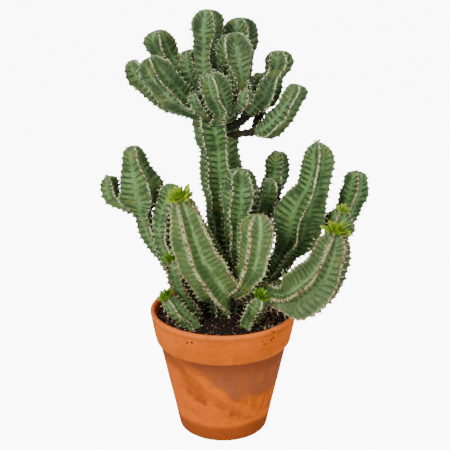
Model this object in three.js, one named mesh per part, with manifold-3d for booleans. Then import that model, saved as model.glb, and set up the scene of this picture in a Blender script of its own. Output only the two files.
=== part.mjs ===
// A potted euphorbia: a clay pot, its soil, and a clump of winged, toothed stems with a
// branching crown, short spines and a few tufts of young leaves.
// Millimetres, +Z up, the front of the plant towards -Y.
// The origin is the centre of the pot's flat base.
import * as THREE from "three";
import { mergeVertices } from "three/addons/utils/BufferGeometryUtils.js";
import Module from "manifold-3d";

const wasm = await Module();
wasm.setup();

// ---------- driving dimensions ----------

const GAP = 0.3; // between pieces that touch

const POT_HEIGHT = 228;
const POT_SIDES = 40;
const BASE_RADIUS = 82;
const BODY_TOP_RADIUS = 115.5; // the pot's body where it meets the rim band
const RIM_BAND = 61; // height of the thick band round the top
const RIM_FOOT_RADIUS = 123;
const RIM_RADIUS = 132;
const WALL = 9.2;
const FLOOR = 12;
const BAND_FLARE = 4; // how much wider the band's inside is at the lip than at its foot
const EDGE_ROUND = 2; // base edge and band foot
const DRAIN_RADIUS = 8;
const DRAIN_PLACE = 45; // from the pot's axis
const DRAINS = 3;
const DRAIN_SIDES = 16;
const DRAIN_TURN = 30; // of the first hole, in degrees

const SOIL_LEVEL = 212;
const SOIL_LUMP = 2.5;
const SOIL_SIDES = 20;
const SOIL_RINGS = 5;
const SOIL_GAP = 0.5; // between the soil and the pot's many-sided wall
const SOIL_SHOULDER = 2; // how far the lumpy top stands in from the wall
const COARSE_WAVES = [13, 11]; // lengths that shape the lumps, along X and Y
const FINE_WAVES = [5.3, 7.1];

const RING_STEP = 14; // along a stem, a tooth and a notch taking turns
const TOOTH = 2.6; // how far a tooth stands past the rib's edge
const NOTCH = 1.6; // how far a notch falls short of it
const CORE_SHARE = 0.35; // the stem's core under its ribs, as a share of their reach ...
const CORE_LEAST = 3.5; // ... added to this
const PLAIN_SHARE = 0.85; // the round stretch that stands in the soil
const DOME_SHARE = 0.85; // height of the rounded tip, by the reach below it
const DOME_STEPS = [0.55, 0.87];
const TIP_SHARE = 0.9; // of the stem's length, where the reach under the dome is taken
const CORE_MOST = 0.9; // of the rib's edge
const ROOT_POINT = 0.5; // how far the root's end stands out as a low point
const STEM_CLEARANCE = 0.5; // round a stem, where it cuts its neighbours

const SPINE_LENGTH = 4.5;
const SPINE_RADIUS = 0.9;
const SPINE_LEAN = 0.35; // towards the stem's tip
const SPINE_EVERY = 3; // one tooth in three carries a spine
const SPINE_CLEARANCE = 4; // between a spine's tip and what stands beside it

const LEAF_WIDTH = 0.36; // of a tuft leaf, by its length
const LEAF_THICKNESS = 1.6;
const LEAF_WIDEST = 0.5; // of its length
const LEAF_SHORTEST = 0.5; // of the longest leaf
const TUFT_CORE = 0.36; // the bud that the leaves stand on, by their length
const TUFT_INNER = 12; // lean of the innermost leaf, in degrees
const TUFT_OUTER = 75; // lean of the outermost

const COLOURS = {
  clay: 0xc8703c,
  soil: 0x33261f,
  old: 0x5d7257, // blue-green lower stems
  crown: 0x567a52,
  young: 0x6d8a52,
  leaf: 0x8fc21c,
};
const ROUGHNESS = { clay: 0.85, soil: 0.95, old: 0.6, crown: 0.6, young: 0.6, leaf: 0.5 };

// Each stem grows from another or from the soil. Its axis runs from root to tip as
// [x, y, z, reach], where reach is how far the ribs stand out from the axis at that point.
// turn is the angle of its first rib, in degrees. leaves is the length of its tuft's leaves.
const STEMS = [
  {
    name: "trunk", colour: "old", ribs: 6, turn: 24,
    axis: [
      [0, 5, 192, 23], [1, 4, 267, 24], [1, 2, 363, 28], [-5, 0, 485, 36],
      [-7, 0, 520, 32], [-10, 0, 536, 40], [-13, 0, 560, 40], [-14, 0, 608, 31],
    ],
  },
  {
    name: "front_left_stem", colour: "young", ribs: 5, turn: -11, leaves: 22, leafCount: 11,
    axis: [
      [9, -10, 254, 13], [0, -45, 277, 39], [-19, -62, 310, 44], [-40, -75, 349, 41],
      [-52, -84, 387, 35], [-61, -90, 424, 28], [-70, -92, 456, 22],
    ],
  },
  {
    name: "front_centre_stem", colour: "young", ribs: 4, turn: -20,
    axis: [
      [13, -44, 268, 13], [32, -62, 297, 20], [48, -76, 333, 27], [54, -84, 370, 29],
      [57, -86, 400, 31], [57, -84, 427, 26],
    ],
  },
  {
    name: "trunk_side_stem", colour: "old", ribs: 5, turn: -20,
    axis: [
      [8, -4, 270, 10], [22, -30, 302, 15], [23, -39, 351, 20], [23, -43, 406, 22],
      [28, -45, 440, 31], [29, -42, 494, 29],
    ],
  },
  {
    name: "left_outer_stem", colour: "old", ribs: 4, turn: 26,
    axis: [
      [-43, 11, 192, 11], [-54, 10, 236, 12], [-75, 8, 272, 13], [-104, 4, 319, 14],
      [-129, 2, 365, 16], [-141, 0, 407, 17], [-140, -2, 423, 33], [-141, -4, 441, 46],
      [-146, -4, 469, 35], [-153, -2, 499, 21], [-155, 0, 524, 20],
    ],
  },
  {
    name: "left_outer_offset", colour: "old", ribs: 4, turn: 30,
    axis: [
      [-137, 4, 397, 7], [-175, 22, 413, 11], [-195, 28, 427, 17], [-201, 28, 443, 18],
      [-201, 24, 464, 16],
    ],
  },
  {
    name: "left_inner_stem", colour: "old", ribs: 4, turn: 25,
    axis: [
      [-77, 6, 270, 8], [-83, -14, 296, 15], [-93, -24, 330, 18], [-105, -30, 368, 17],
      [-103, -32, 412, 17], [-91, -30, 440, 21], [-86, -28, 464, 19],
    ],
  },
  {
    name: "right_tall_stem", colour: "old", ribs: 5, turn: 2, leaves: 8, leafCount: 5,
    axis: [
      [5, 6, 238, 11], [31, 11, 250, 12], [67, 8, 276, 16], [94, 1, 305, 20],
      [112, -8, 338, 24], [126, -12, 368, 37], [132, -15, 404, 50], [142, -18, 434, 39],
      [151, -20, 454, 31], [159, -20, 487, 27], [160, -18, 531, 26],
    ],
  },
  {
    name: "right_back_stem", colour: "old", ribs: 4, turn: 15,
    axis: [
      [7, 12, 262, 10], [31, 33, 288, 12], [51, 48, 328, 17], [65, 57, 372, 22],
      [82, 62, 416, 24], [94, 62, 453, 24], [98, 58, 501, 21],
    ],
  },
  {
    name: "right_back_offset", colour: "old", ribs: 4, turn: 35,
    axis: [
      [57, 50, 346, 9], [69, 20, 380, 16], [79, 6, 415, 21], [82, 2, 440, 21],
      [83, 0, 466, 18],
    ],
  },
  {
    name: "right_front_stem", colour: "old", ribs: 6, turn: 30, leaves: 22, leafCount: 12,
    axis: [
      [11, 0, 246, 11], [37, -24, 262, 12], [67, -48, 273, 15], [104, -67, 270, 23],
      [126, -75, 279, 47], [149, -81, 299, 48], [167, -84, 322, 40], [178, -86, 350, 35],
      [188, -84, 395, 24],
    ],
  },
  {
    name: "far_right_stem", colour: "old", ribs: 4, turn: -9,
    axis: [
      [65, 10, 274, 9], [111, 26, 260, 12], [151, 30, 286, 13], [186, 28, 328, 16],
      [208, 22, 369, 18], [221, 16, 412, 23], [229, 12, 442, 24], [232, 10, 477, 21],
    ],
  },
  {
    name: "far_right_offset", colour: "young", ribs: 4, turn: -30, leaves: 11, leafCount: 8,
    axis: [[193, 22, 344, 9], [197, -10, 372, 24], [201, -22, 392, 29], [205, -30, 417, 22]],
  },
  {
    name: "front_sucker", colour: "young", ribs: 4, turn: 15, leaves: 12, leafCount: 6,
    axis: [[37, -52, 192, 10], [44, -54, 222, 14], [55, -66, 250, 17], [65, -78, 277, 14]],
  },
  {
    name: "left_sucker", colour: "young", ribs: 4, turn: 10, leaves: 12, leafCount: 6,
    axis: [[-51, -62, 192, 9], [-58, -60, 223, 14], [-80, -66, 247, 16], [-96, -70, 274, 14]],
  },
  {
    name: "left_mid_sucker", colour: "young", ribs: 4, turn: 40, leaves: 12, leafCount: 6,
    axis: [[-45, -23, 192, 10], [-55, -32, 240, 16], [-79, -46, 291, 17], [-88, -52, 335, 14]],
  },
  {
    name: "back_left_stem", colour: "old", ribs: 4, turn: 10,
    axis: [
      [-3, 12, 250, 9], [-37, 60, 275, 16], [-59, 92, 322, 20], [-63, 100, 362, 20],
      [-61, 98, 394, 17],
    ],
  },
  {
    name: "back_right_stem", colour: "old", ribs: 4, turn: 10,
    axis: [
      [7, 12, 248, 9], [41, 76, 282, 17], [55, 106, 330, 22], [55, 112, 385, 22],
      [51, 108, 425, 18],
    ],
  },
  {
    name: "back_sucker", colour: "young", ribs: 4, turn: 0,
    axis: [[5, 70, 192, 14], [3, 76, 225, 15], [-1, 84, 265, 16], [-1, 86, 295, 14]],
  },
  {
    name: "crown_top", colour: "crown", ribs: 4, turn: 22,
    axis: [
      [-15, 0, 592, 13], [-23, 2, 621, 18], [-28, 6, 657, 20], [-27, 8, 693, 22],
      [-26, 8, 716, 30], [-23, 8, 749, 29],
    ],
  },
  {
    name: "crown_top_front", colour: "crown", ribs: 4, turn: -10,
    axis: [
      [-5, -6, 576, 9], [20, -26, 606, 15], [27, -34, 633, 17], [24, -40, 659, 21],
      [19, -42, 680, 32], [16, -42, 698, 33], [14, -40, 715, 28],
    ],
  },
  {
    name: "crown_top_back", colour: "crown", ribs: 4, turn: 15,
    axis: [[-9, 6, 582, 9], [11, 42, 619, 16], [21, 56, 658, 26], [27, 58, 692, 35], [28, 56, 733, 34]],
  },
  {
    name: "crown_left_front", colour: "crown", ribs: 4, turn: 0,
    axis: [
      [-21, -6, 568, 9], [-51, -24, 594, 20], [-74, -36, 612, 28], [-95, -46, 638, 28],
      [-111, -50, 659, 26], [-118, -50, 678, 23],
    ],
  },
  {
    name: "crown_left_low", colour: "crown", ribs: 4, turn: 40,
    axis: [
      [-21, 4, 564, 8], [-59, 14, 582, 13], [-95, 14, 595, 20], [-128, 12, 625, 20],
      [-145, 10, 643, 20], [-155, 8, 666, 19],
    ],
  },
  {
    name: "crown_left_upper", colour: "crown", ribs: 4, turn: 13,
    axis: [
      [-19, 6, 582, 9], [-53, 26, 606, 18], [-73, 30, 633, 25], [-95, 32, 668, 22],
      [-106, 32, 691, 26], [-111, 30, 714, 25],
    ],
  },
  {
    name: "crown_left_back", colour: "crown", ribs: 4, turn: 20,
    axis: [[-17, 12, 582, 9], [-39, 22, 614, 16], [-52, 30, 647, 22], [-59, 32, 682, 21]],
  },
  {
    name: "crown_right_back", colour: "crown", ribs: 4, turn: 25,
    axis: [[-3, 6, 578, 8], [29, 20, 609, 13], [40, 24, 639, 12], [44, 24, 686, 11]],
  },
  {
    name: "crown_front", colour: "crown", ribs: 5, turn: 32,
    axis: [
      [-12, -8, 560, 11], [-3, -44, 593, 17], [-7, -60, 613, 25], [-14, -74, 632, 26],
      [-21, -84, 657, 23],
    ],
  },
  {
    name: "crown_front_left", colour: "crown", ribs: 4, turn: 20,
    axis: [[-19, -12, 566, 7], [-35, -40, 592, 11], [-43, -54, 607, 13], [-48, -60, 624, 11]],
  },
  {
    name: "crown_front_bud", colour: "crown", ribs: 4, turn: 45,
    axis: [[-1, -10, 578, 7], [24, -40, 598, 10], [34, -58, 610, 13], [36, -64, 627, 12]],
  },
  {
    name: "crown_right_upper", colour: "crown", ribs: 5, turn: 36,
    axis: [
      [3, -3, 556, 7], [26, -6, 563, 6], [39, -8, 577, 7], [50, -12, 590, 15],
      [66, -18, 608, 25], [75, -21, 629, 24], [83, -23, 648, 17], [89, -24, 667, 25],
      [89, -24, 686, 24],
    ],
  },
  {
    name: "crown_right_lower", colour: "crown", ribs: 4, turn: 20,
    axis: [
      [-1, -2, 543, 7], [33, -8, 546, 5], [54, -10, 549, 8], [70, -14, 553, 20],
      [90, -20, 570, 23], [107, -26, 595, 18], [117, -28, 613, 19], [122, -28, 632, 20],
    ],
  },
  {
    name: "crown_right_bud", colour: "crown", ribs: 4, turn: 0,
    axis: [
      [53, -8, 549, 6], [58, 4, 566, 7], [65, 16, 585, 10], [71, 22, 610, 12],
      [77, 24, 636, 12],
    ],
  },
  {
    name: "crown_back", colour: "crown", ribs: 4, turn: 15,
    axis: [
      [-11, 10, 586, 8], [-13, 62, 620, 15], [-19, 98, 655, 20], [-21, 108, 690, 21],
      [-21, 110, 712, 18],
    ],
  },
  {
    name: "crown_back_left", colour: "crown", ribs: 4, turn: 40,
    axis: [
      [-17, 8, 562, 8], [-47, 48, 580, 14], [-79, 88, 602, 19], [-93, 106, 630, 20],
      [-97, 112, 655, 17],
    ],
  },
  {
    name: "crown_back_right", colour: "crown", ribs: 4, turn: 10,
    axis: [[-5, 8, 566, 8], [29, 50, 582, 13], [54, 86, 600, 18], [62, 96, 618, 18], [64, 100, 635, 16]],
  },
];

// ---------- solids ----------

// A closed geometry as a solid that can be joined and cut.
function solidOf(geometry) {
  const bare = new THREE.BufferGeometry();
  bare.setAttribute("position", geometry.getAttribute("position"));
  bare.setIndex(geometry.getIndex());
  const merged = mergeVertices(bare, 1e-4);
  const corners = merged.getIndex().array;
  const triVerts = [];
  for (let i = 0; i < corners.length; i += 3) {
    const [a, b, c] = corners.slice(i, i + 3);
    if (a !== b && b !== c && c !== a) triVerts.push(a, b, c);
  }
  const vertProperties = Float32Array.from(merged.getAttribute("position").array);
  const mesh = new wasm.Mesh({ numProp: 3, vertProperties, triVerts: Uint32Array.from(triVerts) });
  return new wasm.Manifold(mesh);
}

function meshOf(name, solid, colour) {
  const { vertProperties, triVerts } = solid.getMesh();
  const geometry = new THREE.BufferGeometry();
  geometry.setAttribute("position", new THREE.BufferAttribute(vertProperties, 3));
  geometry.setIndex(new THREE.BufferAttribute(triVerts, 1));
  geometry.computeVertexNormals();
  const material = new THREE.MeshStandardMaterial({
    color: COLOURS[colour],
    roughness: ROUGHNESS[colour],
  });
  const mesh = new THREE.Mesh(geometry, material);
  mesh.name = name;
  return mesh;
}

// A cut can leave scraps beside the piece itself.
function largestBody(solid) {
  const bodies = solid.decompose();
  return bodies.reduce((best, body) => (body.volume() > best.volume() ? body : best));
}

// A closed skin over rings of points that all have the same count, with a point at each end.
function skinOver(rings, start, end) {
  const count = rings[0].length;
  const points = [start, ...rings.flat(), end];
  const faces = [];
  for (let i = 0; i < count; i += 1) {
    const next = (i + 1) % count;
    faces.push([0, 1 + next, 1 + i]);
    for (let ring = 0; ring < rings.length - 1; ring += 1) {
      const low = 1 + ring * count;
      const high = low + count;
      faces.push([low + i, low + next, high + next]);
      faces.push([low + i, high + next, high + i]);
    }
    const last = points.length - 1 - count;
    faces.push([points.length - 1, last + i, last + next]);
  }
  return { points, faces };
}

function skinSolid({ points, faces }) {
  const geometry = new THREE.BufferGeometry().setFromPoints(points);
  geometry.setIndex(faces.flat());
  return solidOf(geometry);
}

// ---------- pot ----------

function potInnerRadius(z) {
  const bandFoot = POT_HEIGHT - RIM_BAND;
  const lip = RIM_RADIUS - WALL;
  const step = lip - BAND_FLARE;
  const underBand = BODY_TOP_RADIUS - WALL;
  const { mapLinear } = THREE.MathUtils;
  if (z > bandFoot) return mapLinear(z, bandFoot, POT_HEIGHT, step, lip);
  if (z > bandFoot - WALL) return mapLinear(z, bandFoot - WALL, bandFoot, underBand, step);
  return mapLinear(z, 0, bandFoot - WALL, BASE_RADIUS - WALL, underBand);
}

function turned(profile, sides) {
  const points = profile.map(([radius, z]) => new THREE.Vector2(radius, z));
  const geometry = new THREE.LatheGeometry(points, sides);
  geometry.rotateX(Math.PI / 2);
  return geometry;
}

function pot() {
  const bandFoot = POT_HEIGHT - RIM_BAND;
  const lip = WALL / 2;
  const lipCurve = [0, 45, 90, 135, 180].map((degrees) => {
    const angle = THREE.MathUtils.degToRad(degrees);
    return [RIM_RADIUS - lip + lip * Math.cos(angle), POT_HEIGHT - lip + lip * Math.sin(angle)];
  });
  const inner = [bandFoot, bandFoot - WALL, FLOOR].map((z) => [potInnerRadius(z), z]);
  const body = solidOf(turned([
    [0, 0],
    [BASE_RADIUS - EDGE_ROUND, 0],
    [BASE_RADIUS, EDGE_ROUND],
    [BODY_TOP_RADIUS, bandFoot - EDGE_ROUND],
    [RIM_FOOT_RADIUS - EDGE_ROUND, bandFoot],
    [RIM_FOOT_RADIUS, bandFoot + EDGE_ROUND],
    ...lipCurve,
    ...inner,
    [0, FLOOR],
  ], POT_SIDES));
  return body.subtract(drains());
}

function drains() {
  const solids = [];
  for (let i = 0; i < DRAINS; i += 1) {
    const hole = new THREE.CylinderGeometry(DRAIN_RADIUS, DRAIN_RADIUS, 3 * FLOOR, DRAIN_SIDES);
    hole.rotateX(Math.PI / 2);
    hole.translate(DRAIN_PLACE, 0, 0);
    hole.rotateZ(THREE.MathUtils.degToRad(DRAIN_TURN + (360 * i) / DRAINS));
    solids.push(solidOf(hole));
  }
  return wasm.Manifold.union(solids);
}

// ---------- soil ----------

function soilHeight(x, y) {
  const coarse = Math.sin(x / COARSE_WAVES[0] + 1) * Math.cos(y / COARSE_WAVES[1]);
  const fine = Math.sin(x / FINE_WAVES[0] - y / FINE_WAVES[1]) / 2;
  return SOIL_LEVEL + SOIL_LUMP * (coarse + fine);
}

function soil() {
  const bandFoot = POT_HEIGHT - RIM_BAND;
  const bottom = FLOOR + GAP;
  const edge = SOIL_LEVEL - 2 * SOIL_LUMP;
  const side = [bottom, bandFoot - WALL, bandFoot, edge].map((z) => [potInnerRadius(z) - SOIL_GAP, z]);
  const shoulder = potInnerRadius(edge) - SOIL_SHOULDER;
  const top = [];
  for (let ring = SOIL_RINGS; ring >= 0; ring -= 1) {
    top.push([(ring / SOIL_RINGS) * shoulder, SOIL_LEVEL]);
  }
  const geometry = turned([[0, bottom], ...side, ...top], SOIL_SIDES);
  const points = geometry.getAttribute("position");
  for (let i = 0; i < points.count; i += 1) {
    if (points.getZ(i) === SOIL_LEVEL) {
      points.setZ(i, soilHeight(points.getX(i), points.getY(i)));
    }
  }
  return solidOf(geometry);
}

// ---------- stems ----------

// The stem's axis at a share of its length: point, direction and reach.
function axisOf(stem) {
  const line = new THREE.CatmullRomCurve3(stem.axis.map(([x, y, z]) => new THREE.Vector3(x, y, z)));
  const reaches = stem.axis.map((row) => row[3]);
  return {
    length: line.getLength(),
    at(share) {
      const t = line.getUtoTmapping(share);
      const place = t * (reaches.length - 1);
      const low = Math.min(Math.floor(place), reaches.length - 2);
      const reach = THREE.MathUtils.lerp(reaches[low], reaches[low + 1], place - low);
      return { point: line.getPoint(t), along: line.getTangent(t), reach };
    },
  };
}

// Where the stem's rings lie, from root to tip, with the share of full reach they keep.
function ringPlaces(axis) {
  const dome = DOME_SHARE * axis.at(TIP_SHARE).reach;
  const count = Math.max(2, Math.round((axis.length - dome) / RING_STEP));
  const places = [];
  for (let i = 0; i <= count; i += 1) {
    places.push({ distance: ((axis.length - dome) * i) / count, share: 1, wave: i % 2 });
  }
  for (const step of DOME_STEPS) {
    const wave = places.length % 2;
    places.push({ distance: axis.length - dome * (1 - step), share: Math.sqrt(1 - step * step), wave });
  }
  return places;
}

// The rings of a stem, each with its centre, its reach, its direction and its corners,
// which are rib crests and valleys in turn.
function stemRings(stem, clearance) {
  const axis = axisOf(stem);
  let across = new THREE.Vector3(0, -1, 0);
  return ringPlaces(axis).map(({ distance, share, wave }) => {
    const { point, along, reach } = axis.at(distance / axis.length);
    across = across.clone().addScaledVector(along, -across.dot(along)).normalize();
    const plain = point.z < SOIL_LEVEL + RING_STEP && stem.axis[0][2] < SOIL_LEVEL;
    const edge = plain ? PLAIN_SHARE * reach : (reach + (wave ? TOOTH : -NOTCH)) * share;
    const core = plain ? edge : Math.min(CORE_MOST * edge, CORE_SHARE * reach * share + CORE_LEAST);
    const corners = [];
    for (let corner = 0; corner < 2 * stem.ribs; corner += 1) {
      const angle = THREE.MathUtils.degToRad(stem.turn) + (corner * Math.PI) / stem.ribs;
      const out = across.clone().applyAxisAngle(along, angle);
      corners.push(point.clone().addScaledVector(out, (corner % 2 ? core : edge) + clearance));
    }
    return { point, along, reach, corners, toothed: Boolean(wave) && !plain };
  });
}

function stemSkin(stem, clearance) {
  const rings = stemRings(stem, clearance);
  const [x, y, z] = stem.axis.at(-1);
  const tip = new THREE.Vector3(x, y, z).addScaledVector(rings.at(-1).along, clearance);
  const root = rings[0].point.clone().addScaledVector(rings[0].along, -clearance - ROOT_POINT);
  return skinOver(rings.map((ring) => ring.corners), root, tip);
}

// ---------- spines ----------

// The corners that share an edge with this one, in order round it.
function cornersRound(faces, corner) {
  const next = new Map();
  for (const face of faces) {
    const at = face.indexOf(corner);
    if (at >= 0) next.set(face[(at + 1) % 3], face[(at + 2) % 3]);
  }
  const round = [[...next.keys()][0]];
  while (round.length < next.size) round.push(next.get(round.at(-1)));
  return round;
}

// Raises a slim three-sided spine on a corner of the skin: the faces round the corner draw back
// to three points on their edges, which the spine stands on.
function raiseSpine(skin, corner, tip) {
  const { points, faces } = skin;
  const round = cornersRound(faces, corner);
  const kept = faces.filter((face) => !face.includes(corner));
  const feet = [0, 1, 2].map((i) => Math.floor((i * round.length) / 3));
  const foot = feet.map((place) => {
    const towards = points[round[place]].clone().sub(points[corner]).setLength(SPINE_RADIUS);
    return points.push(points[corner].clone().add(towards)) - 1;
  });
  for (let i = 0; i < 3; i += 1) {
    const after = (i + 1) % 3;
    const end = after === 0 ? round.length : feet[after];
    for (let place = feet[i]; place < end; place += 1) {
      kept.push([foot[i], round[place], round[(place + 1) % round.length]]);
    }
    kept.push([foot[i], round[end % round.length], foot[after]]);
    kept.push([foot[i], foot[after], corner]);
  }
  points[corner] = tip;
  skin.faces = kept;
}

// Whether a point keeps clear of every stem but its own, of the soil and rim, and of the tufts.
function standsClear(point, stem, ringsOf) {
  if (point.z < POT_HEIGHT + SPINE_LENGTH) return false;
  for (const other of STEMS) {
    const [x, y, z] = other.axis.at(-1);
    const tuft = other.leaves ? other.leaves + SPINE_CLEARANCE : 0;
    if (point.distanceTo(new THREE.Vector3(x, y, z)) < tuft) return false;
    const margin = SPINE_CLEARANCE + SPINE_LENGTH;
    if (other === stem) continue;
    if (ringsOf.get(other).some((ring) => point.distanceTo(ring.point) < ring.reach + margin)) return false;
  }
  return true;
}

// A stem with a spine on every third tooth of each rib, the ribs taking turns.
function spinedStem(stem, ringsOf) {
  const skin = stemSkin(stem, 0);
  const rings = ringsOf.get(stem);
  const size = 2 * stem.ribs;
  rings.forEach((ring, row) => {
    for (let rib = 0; rib < stem.ribs; rib += 1) {
      const place = ring.corners[2 * rib];
      const out = place.clone().sub(ring.point).normalize();
      const tip = place.clone().add(out.addScaledVector(ring.along, SPINE_LEAN).setLength(SPINE_LENGTH));
      const due = ring.toothed && (Math.floor(row / 2) + rib) % SPINE_EVERY === 0;
      if (due && standsClear(tip, stem, ringsOf)) raiseSpine(skin, 1 + row * size + 2 * rib, tip);
    }
  });
  return skinSolid(skin);
}

// ---------- leaf tufts ----------

// One leaf: a flat pointed blade with a raised midrib, on the axis from its stalk to its tip.
function leafSolid(length) {
  const half = (LEAF_WIDTH * length) / 2;
  const thick = LEAF_THICKNESS / 2;
  const widest = LEAF_WIDEST * length;
  const ring = [
    new THREE.Vector3(half, 0, widest),
    new THREE.Vector3(0, thick, widest),
    new THREE.Vector3(-half, 0, widest),
    new THREE.Vector3(0, -thick, widest),
  ];
  return skinSolid(skinOver([ring], new THREE.Vector3(0, 0, 0), new THREE.Vector3(0, 0, length)));
}

// Leaves spread in a spiral round the stem's tip, the inner ones upright, on a small bud.
function tuftSolid(stem) {
  const golden = 180 * (3 - Math.sqrt(5));
  const size = stem.leaves;
  const bud = new THREE.OctahedronGeometry(TUFT_CORE * size, 0);
  const solids = [solidOf(bud)];
  for (let i = 0; i < stem.leafCount; i += 1) {
    const lean = THREE.MathUtils.lerp(TUFT_INNER, TUFT_OUTER, i / stem.leafCount);
    const share = THREE.MathUtils.lerp(LEAF_SHORTEST, 1, (1 + Math.sin(3 * i)) / 2);
    solids.push(leafSolid(size * share).rotate([0, lean, i * golden]));
  }
  const tip = stemRings(stem, 0).at(-1);
  const [x, y, z] = stem.axis.at(-1);
  const turn = new THREE.Quaternion().setFromUnitVectors(new THREE.Vector3(0, 0, 1), tip.along);
  const place = new THREE.Matrix4().compose(new THREE.Vector3(x, y, z), turn, new THREE.Vector3(1, 1, 1));
  return wasm.Manifold.union(solids).transform(place.elements);
}

// ---------- the whole plant in its pot ----------

function boxesMeet(a, b) {
  const one = a.boundingBox();
  const other = b.boundingBox();
  return [0, 1, 2].every((i) => one.min[i] < other.max[i] && other.min[i] < one.max[i]);
}

function cutBy(solid, cutters) {
  const near = cutters.filter((cutter) => boxesMeet(cutter, solid));
  return largestBody(near.reduce((body, cutter) => body.subtract(cutter), solid));
}

function build() {
  const group = new THREE.Group();
  const ringsOf = new Map(STEMS.map((stem) => [stem, stemRings(stem, 0)]));
  const cutters = [];
  group.add(meshOf("pot", pot(), "clay"));
  for (const stem of STEMS) {
    const body = cutBy(spinedStem(stem, ringsOf), cutters);
    group.add(meshOf(stem.name, body, stem.colour));
    cutters.push(skinSolid(stemSkin(stem, STEM_CLEARANCE)));
  }
  for (const stem of STEMS.filter(({ leaves }) => leaves)) {
    group.add(meshOf(`${stem.name}_leaves`, cutBy(tuftSolid(stem), cutters), "leaf"));
  }
  group.add(meshOf("soil", cutBy(soil(), cutters), "soil"));
  return group;
}

const group = build();

export default group;
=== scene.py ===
# %% [markdown]
# # A potted euphorbia
#
# The plant is a clump of some three dozen winged, toothed stems in a plain clay pot. The solids
# in the frame already say where each stem runs and how far its ribs stand out. This notebook
# dresses them: every stem gets its fine teeth, its ribbed flanks, its corky crests and its paired
# spines, the pot gets a round turned wall, and the soil gets bark and grit.

# %% Load the frame
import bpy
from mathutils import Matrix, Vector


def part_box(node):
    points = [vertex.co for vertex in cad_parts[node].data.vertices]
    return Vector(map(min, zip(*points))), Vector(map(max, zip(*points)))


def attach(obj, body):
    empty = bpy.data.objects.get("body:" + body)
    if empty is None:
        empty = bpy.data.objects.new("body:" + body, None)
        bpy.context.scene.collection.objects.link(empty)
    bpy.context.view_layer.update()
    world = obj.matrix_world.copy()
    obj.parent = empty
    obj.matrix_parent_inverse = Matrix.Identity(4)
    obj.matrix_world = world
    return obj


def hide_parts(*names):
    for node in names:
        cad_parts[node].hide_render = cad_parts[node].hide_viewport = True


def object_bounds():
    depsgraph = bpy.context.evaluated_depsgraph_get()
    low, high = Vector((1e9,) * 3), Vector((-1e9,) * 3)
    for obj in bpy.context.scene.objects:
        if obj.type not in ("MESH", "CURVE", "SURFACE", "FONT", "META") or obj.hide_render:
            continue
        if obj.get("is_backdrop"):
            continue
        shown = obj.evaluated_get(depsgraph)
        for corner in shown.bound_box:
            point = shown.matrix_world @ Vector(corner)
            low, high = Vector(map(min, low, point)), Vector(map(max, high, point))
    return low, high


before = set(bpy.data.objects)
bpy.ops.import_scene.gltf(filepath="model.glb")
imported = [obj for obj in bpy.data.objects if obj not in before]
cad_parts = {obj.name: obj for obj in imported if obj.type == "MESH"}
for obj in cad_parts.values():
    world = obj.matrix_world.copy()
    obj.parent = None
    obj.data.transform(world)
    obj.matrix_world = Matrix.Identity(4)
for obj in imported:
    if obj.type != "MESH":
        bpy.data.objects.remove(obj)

cad_low, cad_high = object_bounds()
print("the solids reach from", tuple(cad_low), "to", tuple(cad_high))

# %% Import the modules
import math
import random
from collections import namedtuple

import bmesh
import bpy
import numpy as np
from mathutils import Euler, Matrix, Vector, noise

# %% [markdown]
# ## Working habits
#
# An operator acts on whatever is selected, and the frame leaves its solids selected. So each
# piece starts with nothing selected. Each finished piece stays at the origin with its place in
# its mesh, gets a material and rides on the frame's only body. Where it stands for a solid, that
# solid is hidden.

# %% Select in code
def start_clean():
    """Goes back to object mode with nothing selected."""
    if bpy.context.mode != "OBJECT":
        bpy.ops.object.mode_set(mode="OBJECT")
    bpy.ops.object.select_all(action="DESELECT")


def choose(piece):
    """Selects one piece alone, for the next operator."""
    start_clean()
    piece.select_set(True)
    bpy.context.view_layer.objects.active = piece


def select_where(piece, test):
    """In edit mode, selects the points whose place passes a test."""
    bpy.ops.mesh.select_mode(type="VERT")
    mesh = bmesh.from_edit_mesh(piece.data)
    for point in mesh.verts:
        point.select = test(point.co)
    mesh.select_flush_mode()
    bmesh.update_edit_mesh(piece.data)


def face_outwards():
    """In edit mode, turns every face outwards, and goes back to object mode."""
    bpy.ops.mesh.select_all(action="SELECT")
    bpy.ops.mesh.normals_make_consistent(inside=False)
    bpy.ops.object.mode_set(mode="OBJECT")

# %% Finish a piece
def finish_piece(piece, name, material, slot, *nodes):
    """Names and dresses a modelled piece, and joins it to the frame."""
    choose(piece)
    bpy.ops.object.transform_apply(location=True, rotation=True, scale=True)
    bpy.ops.object.shade_smooth()
    piece.name = name
    piece.data.materials.clear()
    piece.data.materials.append(material)
    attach(piece, "root")
    if nodes:
        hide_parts(*nodes)

# %% Read a mesh's points, and store numbers on them
def point_places(piece):
    flat = np.empty(len(piece.data.vertices) * 3)
    piece.data.vertices.foreach_get("co", flat)
    return flat.reshape(-1, 3)


def set_values(piece, name, values):
    """Stores one number for each point of a mesh, for its material to read."""
    layer = piece.data.attributes.new(name, "FLOAT", "POINT")
    layer.data.foreach_set("value", np.asarray(values, dtype=np.float32))

# %% [markdown]
# ## Materials are small networks
#
# Pictures could colour the pieces, but they would need files and unwrapped meshes. So every finish
# is worked out from noise and from numbers stored on the mesh. A few helpers keep the networks
# readable: one adds a node and feeds it, others do sums, soft steps and mixes, and one starts a
# material with its only shader. What several finishes share, such as blotches, is a node group
# that puts out only numbers.

# %% Helpers for nodes
def feed(tree, made, inputs):
    """Gives each input of a node its value, or the socket that feeds it."""
    for key, value in inputs.items():
        if isinstance(value, bpy.types.NodeSocket):
            tree.links.new(value, made.inputs[key])
        else:
            made.inputs[key].default_value = value


def node(tree, kind, inputs=None, **settings):
    """Adds a node, sets and feeds it, and returns what it puts out."""
    made = tree.nodes.new("ShaderNode" + kind)
    for key, value in settings.items():
        setattr(made, key, value)
    feed(tree, made, inputs or {})
    return made.outputs


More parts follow.
